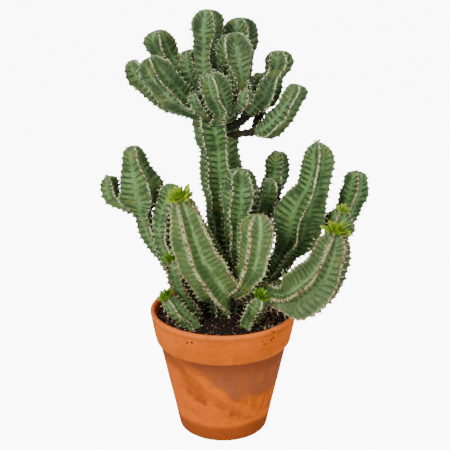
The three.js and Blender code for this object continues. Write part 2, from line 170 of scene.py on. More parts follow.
def calculate(tree, operation, *values):
    return node(tree, "Math", dict(enumerate(values)), operation=operation)[0]


def times(tree, first, second):
    return calculate(tree, "MULTIPLY", first, second)


def ramp(tree, value, start, end, low=0.0, high=1.0):
    """A smooth step from low to high while the value goes from start to end."""
    inputs = {"Value": value, 1: start, 2: end, 3: low, 4: high}
    return node(tree, "MapRange", inputs, interpolation_type="SMOOTHSTEP")[0]


def mix(tree, factor, first, second):
    """Goes from the first colour to the second. A colour is three numbers or a socket."""
    first, second = (tone + (1,) if isinstance(tone, tuple) else tone for tone in (first, second))
    return node(tree, "Mix", {0: factor, 6: first, 7: second}, data_type="RGBA")[2]


def attribute(tree, name):
    return node(tree, "Attribute", attribute_name=name)["Fac"]


def cloud(tree, place, scale, detail):
    return node(tree, "TexNoise", {"Vector": place, "Scale": scale, "Detail": detail})["Fac"]

# %% Start and end a material
def start_material(name, roughness, specular=0.5):
    """A material with a Principled shader, and the object's own coordinates."""
    material = bpy.data.materials.new(name)
    material.use_nodes = True
    tree = material.node_tree
    shader = tree.nodes["Principled BSDF"]
    feed(tree, shader, {"Roughness": roughness, "Specular IOR Level": specular})
    return material, tree, shader, node(tree, "TexCoord")["Object"]


def paint(tree, shader, colour, height, strength, distance):
    """Feeds the shader its colour, and raises and sinks the surface with a bump."""
    bump = node(tree, "Bump", {"Strength": strength, "Distance": distance, "Height": height})
    feed(tree, shader, {"Base Color": colour, "Normal": bump[0]})

# %% Node groups, and the soft uneven blotches that every finish uses
def start_group(name, inputs, masks):
    """A node group with a Vector input, inputs for numbers, and masks that it puts out."""
    group = bpy.data.node_groups.new(name, "ShaderNodeTree")
    group.interface.new_socket("Vector", in_out="INPUT", socket_type="NodeSocketVector")
    for in_out, labels in (("INPUT", inputs), ("OUTPUT", masks)):
        for label in labels.split():
            group.interface.new_socket(label, in_out=in_out, socket_type="NodeSocketFloat")
    return group, group.nodes.new("NodeGroupInput").outputs, group.nodes.new("NodeGroupOutput")


def make_blotches():
    group, entry, leave = start_group("blotches", "Scale From To", "Mask")
    spots = {"Vector": entry["Vector"], "Scale": entry["Scale"], "Detail": 4.0, "Roughness": 0.6}
    spots = node(group, "TexNoise", spots)["Fac"]
    feed(group, leave, {"Mask": ramp(group, spots, entry["From"], entry["To"])})
    return group


BLOTCHES = make_blotches()
print("node group", BLOTCHES.name, "is ready")


def blotches(tree, place, scale, start, end):
    inputs = {"Vector": place, "Scale": scale, "From": start, "To": end}
    return node(tree, "Group", inputs, node_tree=BLOTCHES)["Mask"]

# %% [markdown]
# ## Where the stems run
#
# The stems grew one from another, and no formula gives their bends. The list is the same one that
# the solids were made from, in millimetres: each row is a point of the stem's axis, and then how
# far its ribs stand out there. The turn is the angle of the first rib, in degrees, from the front.

# %% A stem in the list
Stem = namedtuple("Stem", "name kind ribs turn axis")


def stem_of(name, kind, ribs, turn, *rows):
    return Stem(name, kind, ribs, turn, np.array(rows) / 1000)

# %% The trunk and the stems beside it
BESIDE = (
    stem_of("trunk", "old", 6, 24,
        (0, 5, 192, 23), (1, 4, 267, 24), (1, 2, 363, 28), (-5, 0, 485, 36), (-7, 0, 520, 32),
        (-10, 0, 536, 40), (-13, 0, 560, 40), (-14, 0, 608, 31)),
    stem_of("front_left_stem", "front", 5, -11,
        (9, -10, 254, 13), (0, -45, 277, 39), (-19, -62, 310, 44), (-40, -75, 349, 41),
        (-52, -84, 387, 35), (-61, -90, 424, 28), (-70, -92, 456, 22)),
    stem_of("front_centre_stem", "front", 4, -20,
        (13, -44, 268, 13), (32, -62, 297, 20), (48, -76, 333, 27), (54, -84, 370, 29),
        (57, -86, 400, 31), (57, -84, 427, 26)),
    stem_of("trunk_side_stem", "old", 5, -20,
        (8, -4, 270, 10), (22, -30, 302, 15), (23, -39, 351, 20), (23, -43, 406, 22),
        (28, -45, 440, 31), (29, -42, 494, 29)),
    stem_of("left_outer_stem", "old", 4, 26,
        (-43, 11, 192, 11), (-54, 10, 236, 12), (-75, 8, 272, 13), (-104, 4, 319, 14),
        (-129, 2, 365, 16), (-141, 0, 407, 17), (-140, -2, 423, 33), (-141, -4, 441, 46),
        (-146, -4, 469, 35), (-153, -2, 499, 21), (-155, 0, 524, 20)),
    stem_of("left_outer_offset", "old", 4, 30,
        (-137, 4, 397, 7), (-175, 22, 413, 11), (-195, 28, 427, 17), (-201, 28, 443, 18),
        (-201, 24, 464, 16)),
    stem_of("left_inner_stem", "old", 4, 25,
        (-77, 6, 270, 8), (-83, -14, 296, 15), (-93, -24, 330, 18), (-105, -30, 368, 17),
        (-103, -32, 412, 17), (-91, -30, 440, 21), (-86, -28, 464, 19)),
    stem_of("right_tall_stem", "old", 5, 2,
        (5, 6, 238, 11), (31, 11, 250, 12), (67, 8, 276, 16), (94, 1, 305, 20), (112, -8, 338, 24),
        (126, -12, 366, 40), (132, -15, 404, 50), (142, -18, 434, 39), (151, -20, 454, 31),
        (159, -20, 487, 27), (160, -18, 532, 26)),
    stem_of("right_back_stem", "old", 4, 15,
        (7, 12, 262, 10), (31, 33, 288, 12), (51, 48, 328, 17), (65, 57, 372, 22),
        (82, 62, 416, 24), (94, 62, 453, 24), (98, 58, 501, 21)),
    stem_of("right_back_offset", "old", 4, 35,
        (57, 50, 346, 9), (69, 20, 380, 16), (79, 6, 415, 21), (82, 2, 440, 21), (83, 0, 466, 18)),
    stem_of("right_front_stem", "side", 6, 30,
        (11, 0, 246, 11), (37, -24, 262, 13), (67, -48, 274, 17), (104, -67, 271, 26),
        (126, -75, 279, 48), (149, -81, 299, 49), (167, -84, 322, 41), (178, -86, 350, 35),
        (188, -84, 395, 24)),
    stem_of("far_right_stem", "old", 4, -9,
        (65, 10, 274, 9), (111, 26, 260, 12), (151, 30, 286, 13), (186, 28, 328, 16),
        (208, 22, 369, 18), (221, 16, 412, 23), (229, 12, 442, 24), (232, 10, 477, 21)),
    stem_of("far_right_offset", "young", 4, -30,
        (193, 22, 344, 9), (197, -10, 372, 24), (201, -22, 392, 29), (205, -30, 417, 22)),
)
print("the trunk and", len(BESIDE) - 1, "stems beside it")

# %% The suckers near the rim, and the stems behind
LOW_AND_BEHIND = (
    stem_of("front_sucker", "young", 4, 15,
        (37, -52, 192, 10), (44, -54, 222, 14), (55, -66, 250, 17), (65, -78, 277, 14)),
    stem_of("left_sucker", "young", 4, 10,
        (-51, -62, 192, 9), (-58, -60, 223, 14), (-80, -66, 247, 16), (-96, -70, 274, 14)),
    stem_of("left_mid_sucker", "young", 4, 40,
        (-45, -23, 192, 10), (-55, -32, 240, 16), (-79, -46, 291, 17), (-88, -52, 335, 14)),
    stem_of("back_left_stem", "old", 4, 10,
        (-3, 12, 250, 9), (-37, 60, 275, 16), (-59, 92, 322, 20), (-63, 100, 362, 20),
        (-61, 98, 394, 17)),
    stem_of("back_right_stem", "old", 4, 10,
        (7, 12, 248, 9), (41, 76, 282, 17), (55, 106, 330, 22), (55, 112, 385, 22),
        (51, 108, 425, 18)),
    stem_of("back_sucker", "young", 4, 0,
        (5, 70, 192, 14), (3, 76, 225, 15), (-1, 84, 265, 16), (-1, 86, 295, 14)),
)
print(len(LOW_AND_BEHIND), "suckers and stems behind")

# %% The crown on top of the trunk
CROWN = (
    stem_of("crown_top", "crown", 4, 22,
        (-15, 0, 592, 13), (-23, 2, 621, 18), (-28, 6, 657, 20), (-27, 8, 693, 22),
        (-26, 8, 716, 30), (-23, 8, 749, 29)),
    stem_of("crown_top_front", "crown", 4, -10,
        (-5, -6, 576, 9), (20, -26, 606, 15), (27, -34, 633, 17), (24, -40, 659, 21),
        (19, -42, 680, 32), (16, -42, 698, 33), (14, -40, 715, 28)),
    stem_of("crown_top_back", "crown", 4, 15,
        (-9, 6, 582, 9), (11, 42, 619, 16), (21, 56, 658, 26), (27, 58, 692, 35),
        (28, 56, 733, 34)),
    stem_of("crown_left_front", "crown", 4, 0,
        (-21, -6, 568, 9), (-51, -24, 594, 20), (-74, -36, 612, 28), (-95, -46, 638, 28),
        (-111, -50, 659, 26), (-118, -50, 678, 23)),
    stem_of("crown_left_low", "crown", 4, 40,
        (-21, 4, 564, 8), (-59, 14, 582, 13), (-95, 14, 595, 20), (-128, 12, 625, 20),
        (-145, 10, 643, 20), (-155, 8, 666, 19)),
    stem_of("crown_left_upper", "crown", 4, 13,
        (-19, 6, 582, 9), (-53, 26, 606, 18), (-73, 30, 633, 25), (-95, 32, 668, 22),
        (-106, 32, 691, 26), (-111, 30, 714, 25)),
    stem_of("crown_left_back", "crown", 4, 20,
        (-17, 12, 582, 9), (-39, 22, 614, 16), (-52, 30, 647, 22), (-59, 32, 682, 21)),
    stem_of("crown_right_back", "crown", 4, 25,
        (-3, 6, 578, 8), (28, 20, 609, 12), (38, 24, 639, 12), (42, 24, 686, 10)),
    stem_of("crown_front", "crown", 5, 32,
        (-12, -8, 560, 11), (-3, -44, 593, 17), (-7, -60, 613, 25), (-14, -74, 632, 26),
        (-21, -84, 657, 23)),
    stem_of("crown_front_left", "crown", 4, 20,
        (-19, -12, 566, 7), (-35, -40, 592, 11), (-43, -54, 607, 13), (-48, -60, 624, 11)),
    stem_of("crown_front_bud", "crown", 4, 45,
        (-1, -10, 578, 7), (24, -40, 598, 10), (34, -58, 610, 13), (36, -64, 627, 12)),
    stem_of("crown_right_upper", "crown", 5, 36,
        (3, -3, 556, 7), (26, -6, 563, 6), (39, -8, 577, 7), (50, -12, 590, 15), (66, -18, 608, 25),
        (75, -21, 629, 24), (83, -23, 648, 17), (89, -24, 667, 25), (89, -24, 686, 24)),
    stem_of("crown_right_lower", "crown", 4, 20,
        (-1, -2, 543, 7), (33, -8, 546, 5), (54, -10, 549, 8), (70, -14, 553, 20),
        (90, -20, 570, 23), (107, -26, 595, 18), (117, -28, 613, 19), (122, -28, 632, 20)),
    stem_of("crown_right_bud", "crown", 4, 0,
        (53, -8, 549, 6), (58, 4, 566, 7), (65, 16, 585, 10), (71, 22, 610, 12), (77, 24, 636, 12)),
    stem_of("crown_back", "crown", 4, 15,
        (-11, 10, 586, 8), (-13, 62, 620, 15), (-19, 98, 655, 20), (-21, 108, 690, 21),
        (-21, 110, 712, 18)),
    stem_of("crown_back_left", "crown", 4, 40,
        (-17, 8, 562, 8), (-47, 48, 580, 14), (-79, 88, 602, 19), (-93, 106, 630, 20),
        (-97, 112, 655, 17)),
    stem_of("crown_back_right", "crown", 4, 10,
        (-5, 8, 566, 8), (29, 50, 582, 13), (54, 86, 600, 18), (62, 96, 618, 18),
        (64, 100, 635, 16)),
)
STEMS = BESIDE + LOW_AND_BEHIND + CROWN
print(len(CROWN), "branches in the crown,", len(STEMS), "stems in all")

# %% [markdown]
# ## The axis of a stem
#
# A smooth line has to pass through the listed points, where straight pieces would kink. A
# Catmull-Rom spline does that, and with the square root of the distances as its knots it makes no
# loops at tight bends. A curve object would bend alike, but its points can't be looked up by
# their distance. So the line is sampled densely here.

# %% Sample an axis
SAMPLES = 40  # between two listed points


def spline_piece(before, start, end, after, steps):
    """Points from start to end on a curve that also minds the points on either side."""
    first, middle, last = (
        max(np.linalg.norm(b - a), 1e-6) ** 0.5
        for a, b in ((before, start), (start, end), (end, after))
    )
    leave = (start - before) / first - (end - before) / (first + middle)
    leave = (leave + (end - start) / middle) * middle
    arrive = (end - start) / middle - (after - start) / (middle + last)
    arrive = (arrive + (after - end) / last) * middle
    t = steps[:, None]
    cubic = (2 * start - 2 * end + leave + arrive) * t**3
    square = (3 * end - 3 * start - 2 * leave - arrive) * t**2
    return cubic + square + leave * t + start


def sample_axis(stem):
    """Distances, points and reaches along a stem."""
    points = stem.axis[:, :3]
    ends = (2 * points[0] - points[1], 2 * points[-1] - points[-2])
    ring = np.vstack((ends[0], points, ends[1]))
    steps = np.linspace(0, 1, SAMPLES, endpoint=False)
    parts = [spline_piece(*ring[i : i + 4], steps) for i in range(len(points) - 1)]
    line = np.vstack(parts + [points[-1:]])
    reach = np.interp(np.arange(len(line)) / SAMPLES, np.arange(len(points)), stem.axis[:, 3])
    gaps = np.linalg.norm(np.diff(line, axis=0), axis=1)
    return np.concatenate(([0.0], np.cumsum(gaps))), line, reach


print("the trunk is", round(1000 * sample_axis(STEMS[0])[0][-1]), "mm long")

# %% [markdown]
# ## The teeth and the flanks
#
# Each rib is a thin wing. Its crest is a beaded edge with a tooth every centimetre, and from each
# tooth a soft ridge runs down the flank to the valley between two wings. Over the rounded tip the
# ridges fan out like the ribs of a shell. A curve with a star as its bevel would give the wings,
# but neither teeth nor ridges. So they are worked out: one number, the phase, counts the teeth
# along the crest, and both the shape and the colours follow from it.

# %% Sizes of the teeth, crests and flanks
TOOTH_PITCH = 0.0098
RINGS_A_TOOTH = 6
RIB_POINTS = 16  # seven down one flank, the crest, seven down the other flank, and the valley
CREST_POINT = 7  # its place among them
CORE_SHARE = 0.35  # of the reach, for the core under the ribs ...
CORE_LEAST = 0.0035  # ... added to this
DOME_SHARE = 0.85  # height of the rounded tip, by its reach
DOME_RINGS = 12
DOME_POWER = 0.8  # under 1 the tip is blunter than a ball
EDGE_SHIFT = 0.0004  # the teeth stand a little past the listed reach
SLANT = 0.35  # how much a flank's ridges climb towards the crest
FLANK = np.array((0, 0.03, 0.11, 0.25, 0.41, 0.58, 0.75, 0.9, 1))  # from crest to valley
BEAD = np.array((0, 1, 0.72, 0, 0, 0, 0, 0, 0))  # the corky bead along the crest
ROUNDED = np.sin(np.pi / 2 * np.minimum(1, FLANK / 0.15))  # a wing rounds off to its crest
HOLLOW = 2.0  # over 1 the wings are thin and the valleys between them are rounded
SWAY = 0.0016  # how far a crest bends to either side
WANDER = 0.0012  # how far a crest's outline strays in and out
THIN = 0.012  # the reach up to which the outline stays plain
FULL_TURN = 6.28  # for the start of a wave
LUMP = 0.0015  # how far the flanks swell and sink
LUMP_SCALE = 55
print("a tooth stands every", round(1000 * TOOTH_PITCH, 1), "mm")

# %% How each kind of stem grows
# The material slot, and in metres: the height of a tooth, the half widths of the crest and of the
# wing behind it, the height of a flank's ridges, and the length of a spine.
Habit = namedtuple("Habit", "slot tooth crest shoulder ridge spine")
HABITS = {
    "old": Habit("old_stem", 0.0018, 0.0012, 0.0024, 0.0015, 0.0045),
    "crown": Habit("crown_stem", 0.0013, 0.0011, 0.0018, 0.0015, 0.0036),
    "young": Habit("young_stem", 0.0016, 0.0013, 0.0028, 0.0014, 0.0048),
    "front": Habit("young_stem", 0.0015, 0.0024, 0.0036, 0.0011, 0.0045),
    "side": Habit("old_stem", 0.0020, 0.0018, 0.0030, 0.0011, 0.0050),
}
RUST = {  # how reddish the crests are that aren't plain cream
    "left_mid_sucker": 0.8,
    "right_front_stem": 0.2,
    "front_left_stem": 0.15,
    "far_right_offset": 0.3,
}
print(len(HABITS), "kinds of stems")

# %% Helpers for the rings along a stem
def smooth(values, width):
    """A running mean, with the ends held."""
    padded = np.pad(values, width, mode="edge")
    return np.convolve(padded, np.ones(2 * width + 1) / (2 * width + 1), mode="valid")


def carry_front(along):
    """The direction that faces the front at the root, carried up the stem without twisting."""
    front = np.array((0.0, -1.0, 0.0))
    carried = []
    for direction in along:
        front = front - direction * front.dot(direction)
        front /= np.linalg.norm(front)
        carried.append(front)
    return np.array(carried)

# %% Places of the rings along a stem
Rings = namedtuple("Rings", "at centre along front reach share body dome crest_length")


def place_rings(stem):
    """Where each ring lies, from the root to the tip, and how large it is."""
    distance, line, reach = sample_axis(stem)
    length = distance[-1]
    dome = DOME_SHARE * np.interp(0.9 * length, distance, reach)
    body = length - dome
    count = max(RINGS_A_TOOTH, round(body / TOOTH_PITCH * RINGS_A_TOOTH))
    angles = np.linspace(0, np.pi / 2, DOME_RINGS + 1)[1:]
    at = np.concatenate((np.linspace(0, body, count + 1), body + dome * np.sin(angles)))
    share = np.concatenate((np.ones(count + 1), np.maximum(np.cos(angles), 0) ** DOME_POWER))
    centre = np.column_stack([np.interp(at, distance, line[:, i]) for i in range(3)])
    along = np.gradient(centre, at, axis=0)
    along /= np.linalg.norm(along, axis=1, keepdims=True)
    reach = smooth(np.interp(at, distance, reach), RINGS_A_TOOTH // 2)
    rise = np.hypot(np.diff(at), np.diff(reach))
    crest_length = np.concatenate(([0.0], np.cumsum(rise)))
    return Rings(at, centre, along, carry_front(along), reach, share, body, dome, crest_length)


print("the trunk has", len(place_rings(STEMS[0]).at), "rings")

# %% [markdown]
# ## From a straight column to a stem
#
# A stem could be put together face by face from its worked-out points. It is easier to follow as
# a plain column first: a circle is extruded to one band, an Array repeats the band upwards, and
# both ends are merged to a point. Each point of the column knows its ring and its place round the
# stem, so it can be moved to where that ring lies on the axis.

# %% A straight column
def straight_column(points, rings):
    """One band is extruded from a circle and repeated upwards. Both ends draw to a point."""
    start_clean()
    bpy.ops.mesh.primitive_circle_add(vertices=points, radius=1, fill_type="NOTHING")
    column = bpy.context.active_object
    bpy.ops.object.mode_set(mode="EDIT")
    bpy.ops.mesh.select_all(action="SELECT")
    bpy.ops.mesh.extrude_region_move(TRANSFORM_OT_translate={"value": (0, 0, 1)})
    bpy.ops.object.mode_set(mode="OBJECT")
    stack = column.modifiers.new("stack", "ARRAY")
    stack.count = rings
    stack.use_relative_offset = False
    stack.use_constant_offset = True
    stack.constant_offset_displace = (0, 0, 1)
    stack.use_merge_vertices = True
    stack.merge_threshold = 0.01
    bpy.ops.object.modifier_apply(modifier=stack.name)
    bpy.ops.object.mode_set(mode="EDIT")
    for end in (0, rings):
        select_where(column, lambda place: abs(place.z - end) < 0.5)
        bpy.ops.mesh.merge(type="CENTER")
    face_outwards()
    return column

# %% The outline of a wing, and the count of its teeth
def wing_section(edge, core, crest, shoulder, half_angle):
    """How far out, and how far to the side, each point of a half wing lies."""
    valley_out = core * np.cos(half_angle)
    valley_side = (core * np.sin(half_angle))[:, None]
    out = edge[:, None] + (valley_out - edge)[:, None] * FLANK
    thick = shoulder[:, None] * ROUNDED
    side = thick + (valley_side - shoulder[:, None]) * FLANK**HOLLOW
    side = np.maximum(side, crest[:, None] * BEAD)
    side[:, 0] = 0
    return out, side


def count_teeth(rings, out):
    """The phase at every point: along the crest in the body, fanned out over the tip."""
    reach = (rings.reach * rings.share)[:, None]
    height = rings.at[:, None] + SLANT * (reach - out)
    in_body = np.interp(np.minimum(height, rings.body), rings.at, rings.crest_length)
    tip_reach = np.interp(rings.body, rings.at, rings.reach)
    rise = np.maximum(height - rings.body, 0) * tip_reach / rings.dome
    fan = np.arctan2(rise, np.maximum(out, 1e-4)) * tip_reach
    return (in_body + fan) / TOOTH_PITCH

# %% Shape one rib
def shape_rib(rings, habit, half_angle, dice):
    """Out and side distances of a rib's half section along the stem, and its phase and rim."""
    wander = sum(
        WANDER * np.sin(rings.at / dice.uniform(least, 2 * least) + dice.uniform(0, FULL_TURN))
        for least in (0.02, 0.006)
    )
    plain = (rings.reach + EDGE_SHIFT + wander * (rings.reach > THIN)) * rings.share
    core = (CORE_SHARE * rings.reach + CORE_LEAST) * rings.share
    core = np.minimum(0.9 * plain, core)
    crest = np.minimum(habit.crest * np.sqrt(rings.share), 0.35 * plain)
    shoulder = np.minimum(habit.shoulder * np.sqrt(rings.share), 0.12 * plain)
    phase = count_teeth(rings, wing_section(plain, core, crest, shoulder, half_angle)[0])
    teeth = 2 * np.pi * phase[:, 0]
    wave = habit.tooth * (0.7 * np.cos(teeth) + 0.3 * np.cos(2 * teeth))
    count = int(phase[:, 0].max()) + 2
    wave *= np.interp(phase[:, 0], np.arange(count), [dice.uniform(0.5, 1.6) for _ in range(count)])
    edge = plain + wave * rings.share
    out, side = wing_section(edge, core, crest, shoulder, half_angle)
    bulge = habit.ridge * np.sin(np.pi * FLANK**0.8) * np.cos(2 * np.pi * phase)
    side = side + bulge * np.sqrt(rings.share)[:, None]
    sway = SWAY * np.sin(rings.at / dice.uniform(0.008, 0.014) + dice.uniform(0, FULL_TURN))
    sway = (sway * rings.share)[:, None] * (1 - FLANK) ** 2
    return out, side, sway, phase, edge[:, None] - out

# %% Shape the whole stem, rib by rib
def shape_stem(stem, dice):
    """Every point of a stem, by its place round it and its ring, with the finish's numbers."""
    habit = HABITS[stem.kind]
    rings = place_rings(stem)
    side_way = np.cross(rings.along, rings.front)
    places, numbers = [], []
    for rib in range(stem.ribs):
        angle = math.radians(stem.turn) + 2 * math.pi * rib / stem.ribs
        ahead = rings.front * math.cos(angle) + side_way * math.sin(angle)
        across = side_way * math.cos(angle) - rings.front * math.sin(angle)
        out, side, sway, phase, rim = shape_rib(rings, habit, math.pi / stem.ribs, dice)
        for hand, order in ((-1, range(CREST_POINT, 0, -1)), (1, range(len(FLANK)))):
            for i in order:
                aside = across * (hand * side[:, i : i + 1] + sway[:, i : i + 1])
                places.append(rings.centre + ahead * out[:, i : i + 1] + aside)
                depth = np.full(len(rings.at), FLANK[i])
                numbers.append((phase[:, i], rim[:, i], depth, rings.reach))
    return np.array(places), np.array(numbers), rings

# %% Model one stem
def match_column(column, ribs):
    """For each point of a straight column: its ring, and its place round the stem."""
    x, y, z = point_places(column).T
    step = np.arctan2(y, x) / (2 * np.pi) * ribs * RIB_POINTS
    return np.rint(z).astype(int), np.rint(step).astype(int) % (ribs * RIB_POINTS)


def model_stem(stem, material, dice):
    """A straight column is added, moved point by point onto its axis, and finished."""
    places, numbers, rings = shape_stem(stem, dice)
    last = len(rings.at) - 1
    column = straight_column(stem.ribs * RIB_POINTS, last)
    ring, step = match_column(column, stem.ribs)
    shaped = places[step, ring]
    lumps = np.array([noise.noise(Vector(point) * LUMP_SCALE) for point in shaped])
    out = shaped - rings.centre[ring]
    shaped += out * (LUMP * lumps / np.maximum(rings.reach[ring], LUMP))[:, None]
    for end in (0, last):
        shaped[ring == end] = places[:, end].mean(axis=0)
    column.data.vertices.foreach_set("co", shaped.ravel())
    chosen = numbers[step, :, ring]
    for name, values in zip(("phase", "rim", "flank", "reach"), chosen.T):
        set_values(column, name, values)
    set_values(column, "rust", np.full(len(step), RUST.get(stem.name, 0.0)))
    finish_piece(column, stem.name + "_body", material, HABITS[stem.kind].slot, stem.name)
    return places, numbers, rings

# %% [markdown]
# ## The skin of the stems
#
# The skin is green, with a light stripe on each ridge of the flanks and a pale line down each
# valley. The crest is dry cork, cream with a dark brown shield under every pair of spines, and a
# thin old neck is all bark. Painted by hand, such marks would drift off the teeth. Here they
# follow the phase stored on the mesh, and a little noise makes them uneven.

# %% Stripes and cork as a node group
def make_markings():
    group, entry, leave = start_group(
        "rib markings", "Phase Rim Flank Cork", "Stripe Valley Cork Border Mark",
    )
    stir = cloud(group, entry["Vector"], 160.0, 3.0)
    drift = cloud(group, entry["Vector"], 32.0, 3.0)
    phase = calculate(group, "MULTIPLY_ADD", drift, 0.7, entry["Phase"])
    wave = calculate(group, "COSINE", times(group, phase, 2 * math.pi))
    stripe = ramp(group, calculate(group, "MULTIPLY_ADD", entry["Flank"], 1.4, wave), -0.2, 1.3)
    stripe = times(group, stripe, ramp(group, entry["Flank"], 0.0, 0.12))
    stripe = times(group, stripe, ramp(group, drift, 0.34, 0.58, 0.1, 1.0))
    stripe = times(group, stripe, ramp(group, stir, 0.25, 0.7, 0.5, 1.2))
    stray = calculate(group, "SUBTRACT", stir, 0.5)
    valley = calculate(group, "MULTIPLY_ADD", stray, 0.3, entry["Flank"])
    valley = times(group, ramp(group, valley, 0.76, 0.95), ramp(group, drift, 0.38, 0.55, 0.3, 1.0))
    rim = calculate(group, "MULTIPLY_ADD", stray, 0.006, entry["Rim"])
    cork = calculate(group, "DIVIDE", rim, entry["Cork"])
    # painted shadow: a thin dark line along the edge of the corky crest, broken up by noise
    shadow_line = times(group, ramp(group, cork, 0.9, 1.2), ramp(group, cork, 2.6, 1.6))
    shadow_line = times(group, shadow_line, ramp(group, drift, 0.40, 0.60))
    tooth = calculate(group, "PINGPONG", calculate(group, "ADD", entry["Phase"], 1.0), 0.5)
    along = times(group, tooth, TOOTH_PITCH / 1.7)
    away = calculate(group, "ADD", times(group, along, along), times(group, rim, rim))
    away = calculate(group, "MULTIPLY_ADD", drift, -0.005, calculate(group, "SQRT", away))
    feed(group, leave, {
        "Stripe": stripe,
        "Valley": valley,
        "Cork": ramp(group, cork, 1.2, 0.8),
        "Border": shadow_line,
        "Mark": ramp(group, away, -0.0009, -0.0016),
    })
    return group


MARKINGS = make_markings()
print("node group", MARKINGS.name, "is ready")

# %% Tones of the stems
# the dark brown of the shields under the spines, also used for the painted shadow line along the
# cork
MARK_AND_SHADOW_TONE = (0.040, 0.020, 0.012)
SCAB_TONE = (0.16, 0.085, 0.045)
RUST_TONE = (0.30, 0.10, 0.045)
BARK_TONE = (0.070, 0.052, 0.032)
BARK_DARK = (0.014, 0.013, 0.009)
YELLOW_HIGHLIGHT_TONE = (0.21, 0.23, 0.045)
CORK_TONE = (0.74, 0.76, 0.42)

# Each kind's mark tone also paints the shadow line along the cork.
Tones = namedtuple(
    "Tones", "dark olive light valley cork_width cork mark stripes",
    defaults=(CORK_TONE, MARK_AND_SHADOW_TONE, 1.0),
)
# Each kind's valley tone also paints the highlight beside the crests.
TONES = {
    "old": Tones(
        (0.024, 0.060, 0.020), (0.050, 0.098, 0.025), (0.185, 0.330, 0.090), (0.150, 0.295, 0.110),
        cork_width=0.0013,
    ),
    "crown": Tones(
        (0.021, 0.049, 0.018), (0.055, 0.086, 0.021), (0.155, 0.265, 0.085), (0.165, 0.300, 0.130),
        cork_width=0.0010,
    ),
    "young": Tones(
        (0.034, 0.078, 0.025), (0.070, 0.120, 0.030), (0.195, 0.335, 0.095), (0.200, 0.345, 0.130),
        cork_width=0.0014,
    ),
    "front": Tones(
        (0.056, 0.112, 0.032), (0.095, 0.158, 0.038), (0.240, 0.370, 0.110), (0.300, 0.480, 0.180),
        cork_width=0.0022, cork=(0.68, 0.69, 0.33), mark=(0.13, 0.065, 0.038), stripes=0.6,
    ),
    "side": Tones(
        (0.054, 0.100, 0.034), (0.090, 0.135, 0.036), (0.220, 0.330, 0.110), (0.220, 0.350, 0.140),
        cork_width=0.0017, cork=(0.66, 0.64, 0.33), mark=(0.15, 0.062, 0.036), stripes=0.6,
    ),
}


def shade(tone, share):
    """A darker version of a colour."""
    return tuple(share * part for part in tone)

# %% The green of the flanks and the cork of the crests
def mix_green(tree, place, marks, tones):
    green = mix(tree, blotches(tree, place, 24.0, 0.38, 0.62), tones.dark, tones.olive)
    green = mix(tree, times(tree, marks["Stripe"], tones.stripes), green, tones.light)
    # painted highlight: the flank next to each crest is painted paler, where the rounded shoulder
    # catches light
    pale = times(tree, ramp(tree, attribute(tree, "rim"), 0.007, 0.002), 0.5)
    pale = calculate(tree, "MAXIMUM", pale, times(tree, marks["Valley"], 0.9))
    green = mix(tree, pale, green, tones.valley)
    # painted highlight: yellow-green patches, strewn at random over the skin
    yellow_highlight = times(tree, blotches(tree, place, 38.0, 0.55, 0.68), 0.55)
    green = mix(tree, yellow_highlight, green, YELLOW_HIGHLIGHT_TONE)
    mottle = times(tree, blotches(tree, place, 260.0, 0.40, 0.65), 0.35)
    green = mix(tree, mottle, green, shade(tones.dark, 0.6))
    edge = times(tree, ramp(tree, attribute(tree, "flank"), 0.4, 0.0), 0.4)
    edge = times(tree, edge, blotches(tree, place, 60.0, 0.35, 0.6))
    return mix(tree, edge, green, shade(tones.olive, 0.6))


def mix_cork(tree, place, grain, rust, tones):
    cork = mix(tree, times(tree, grain, 0.5), tones.cork, shade(tones.cork, 0.5))
    scab = times(tree, blotches(tree, place, 70.0, 0.55, 0.62), 0.8)
    return mix(tree, rust, mix(tree, scab, cork, SCAB_TONE), RUST_TONE)

# %% One skin, mixed for each kind of stem
def make_skin(name, tones):
    material, tree, shader, place = start_material(name, roughness=0.5, specular=0.22)
    inputs = {label: attribute(tree, label.lower()) for label in ("Phase", "Rim", "Flank")}
    inputs.update({"Vector": place, "Cork": tones.cork_width})
    marks = node(tree, "Group", inputs, node_tree=MARKINGS)
    grain = blotches(tree, place, 420.0, 0.42, 0.6)
    rust = attribute(tree, "rust")
    # painted shadow: the dark line along the cork, in the mark tone
    colour = mix(tree, marks["Border"], mix_green(tree, place, marks, tones), tones.mark)
    colour = mix(tree, marks["Cork"], colour, mix_cork(tree, place, grain, rust, tones))
    mark = mix(tree, rust, tones.mark, shade(MARK_AND_SHADOW_TONE, 0.4))
    colour = mix(tree, times(tree, marks["Mark"], 0.92), colour, mark)
    bark = ramp(tree, attribute(tree, "reach"), 0.0105, 0.0075)
    colour = mix(tree, bark, colour, mix(tree, grain, BARK_TONE, BARK_DARK))
    dry = calculate(tree, "MAXIMUM", marks["Cork"], bark)
    feed(tree, shader, {"Roughness": ramp(tree, dry, 0.0, 1.0, 0.46, 0.88)})
    height = times(tree, grain, calculate(tree, "ADD", dry, 0.12))
    height = calculate(tree, "MULTIPLY_ADD", marks["Stripe"], 0.6, height)
    paint(tree, shader, colour, height, strength=0.8, distance=0.001)
    return material


SKINS = {kind: make_skin(kind + " skin", tones) for kind, tones in TONES.items()}
print("skins:", ", ".join(SKINS))

# %% [markdown]
# ## Spines
#
# A pair of short spines stands on every tooth, straw-coloured and here and there brown at the
# tip. Hair particles could strew them, but not on the teeth alone. So one slim four-sided cone is
# modelled and copied to every tooth. There are some thousands, and each stem's are one piece.

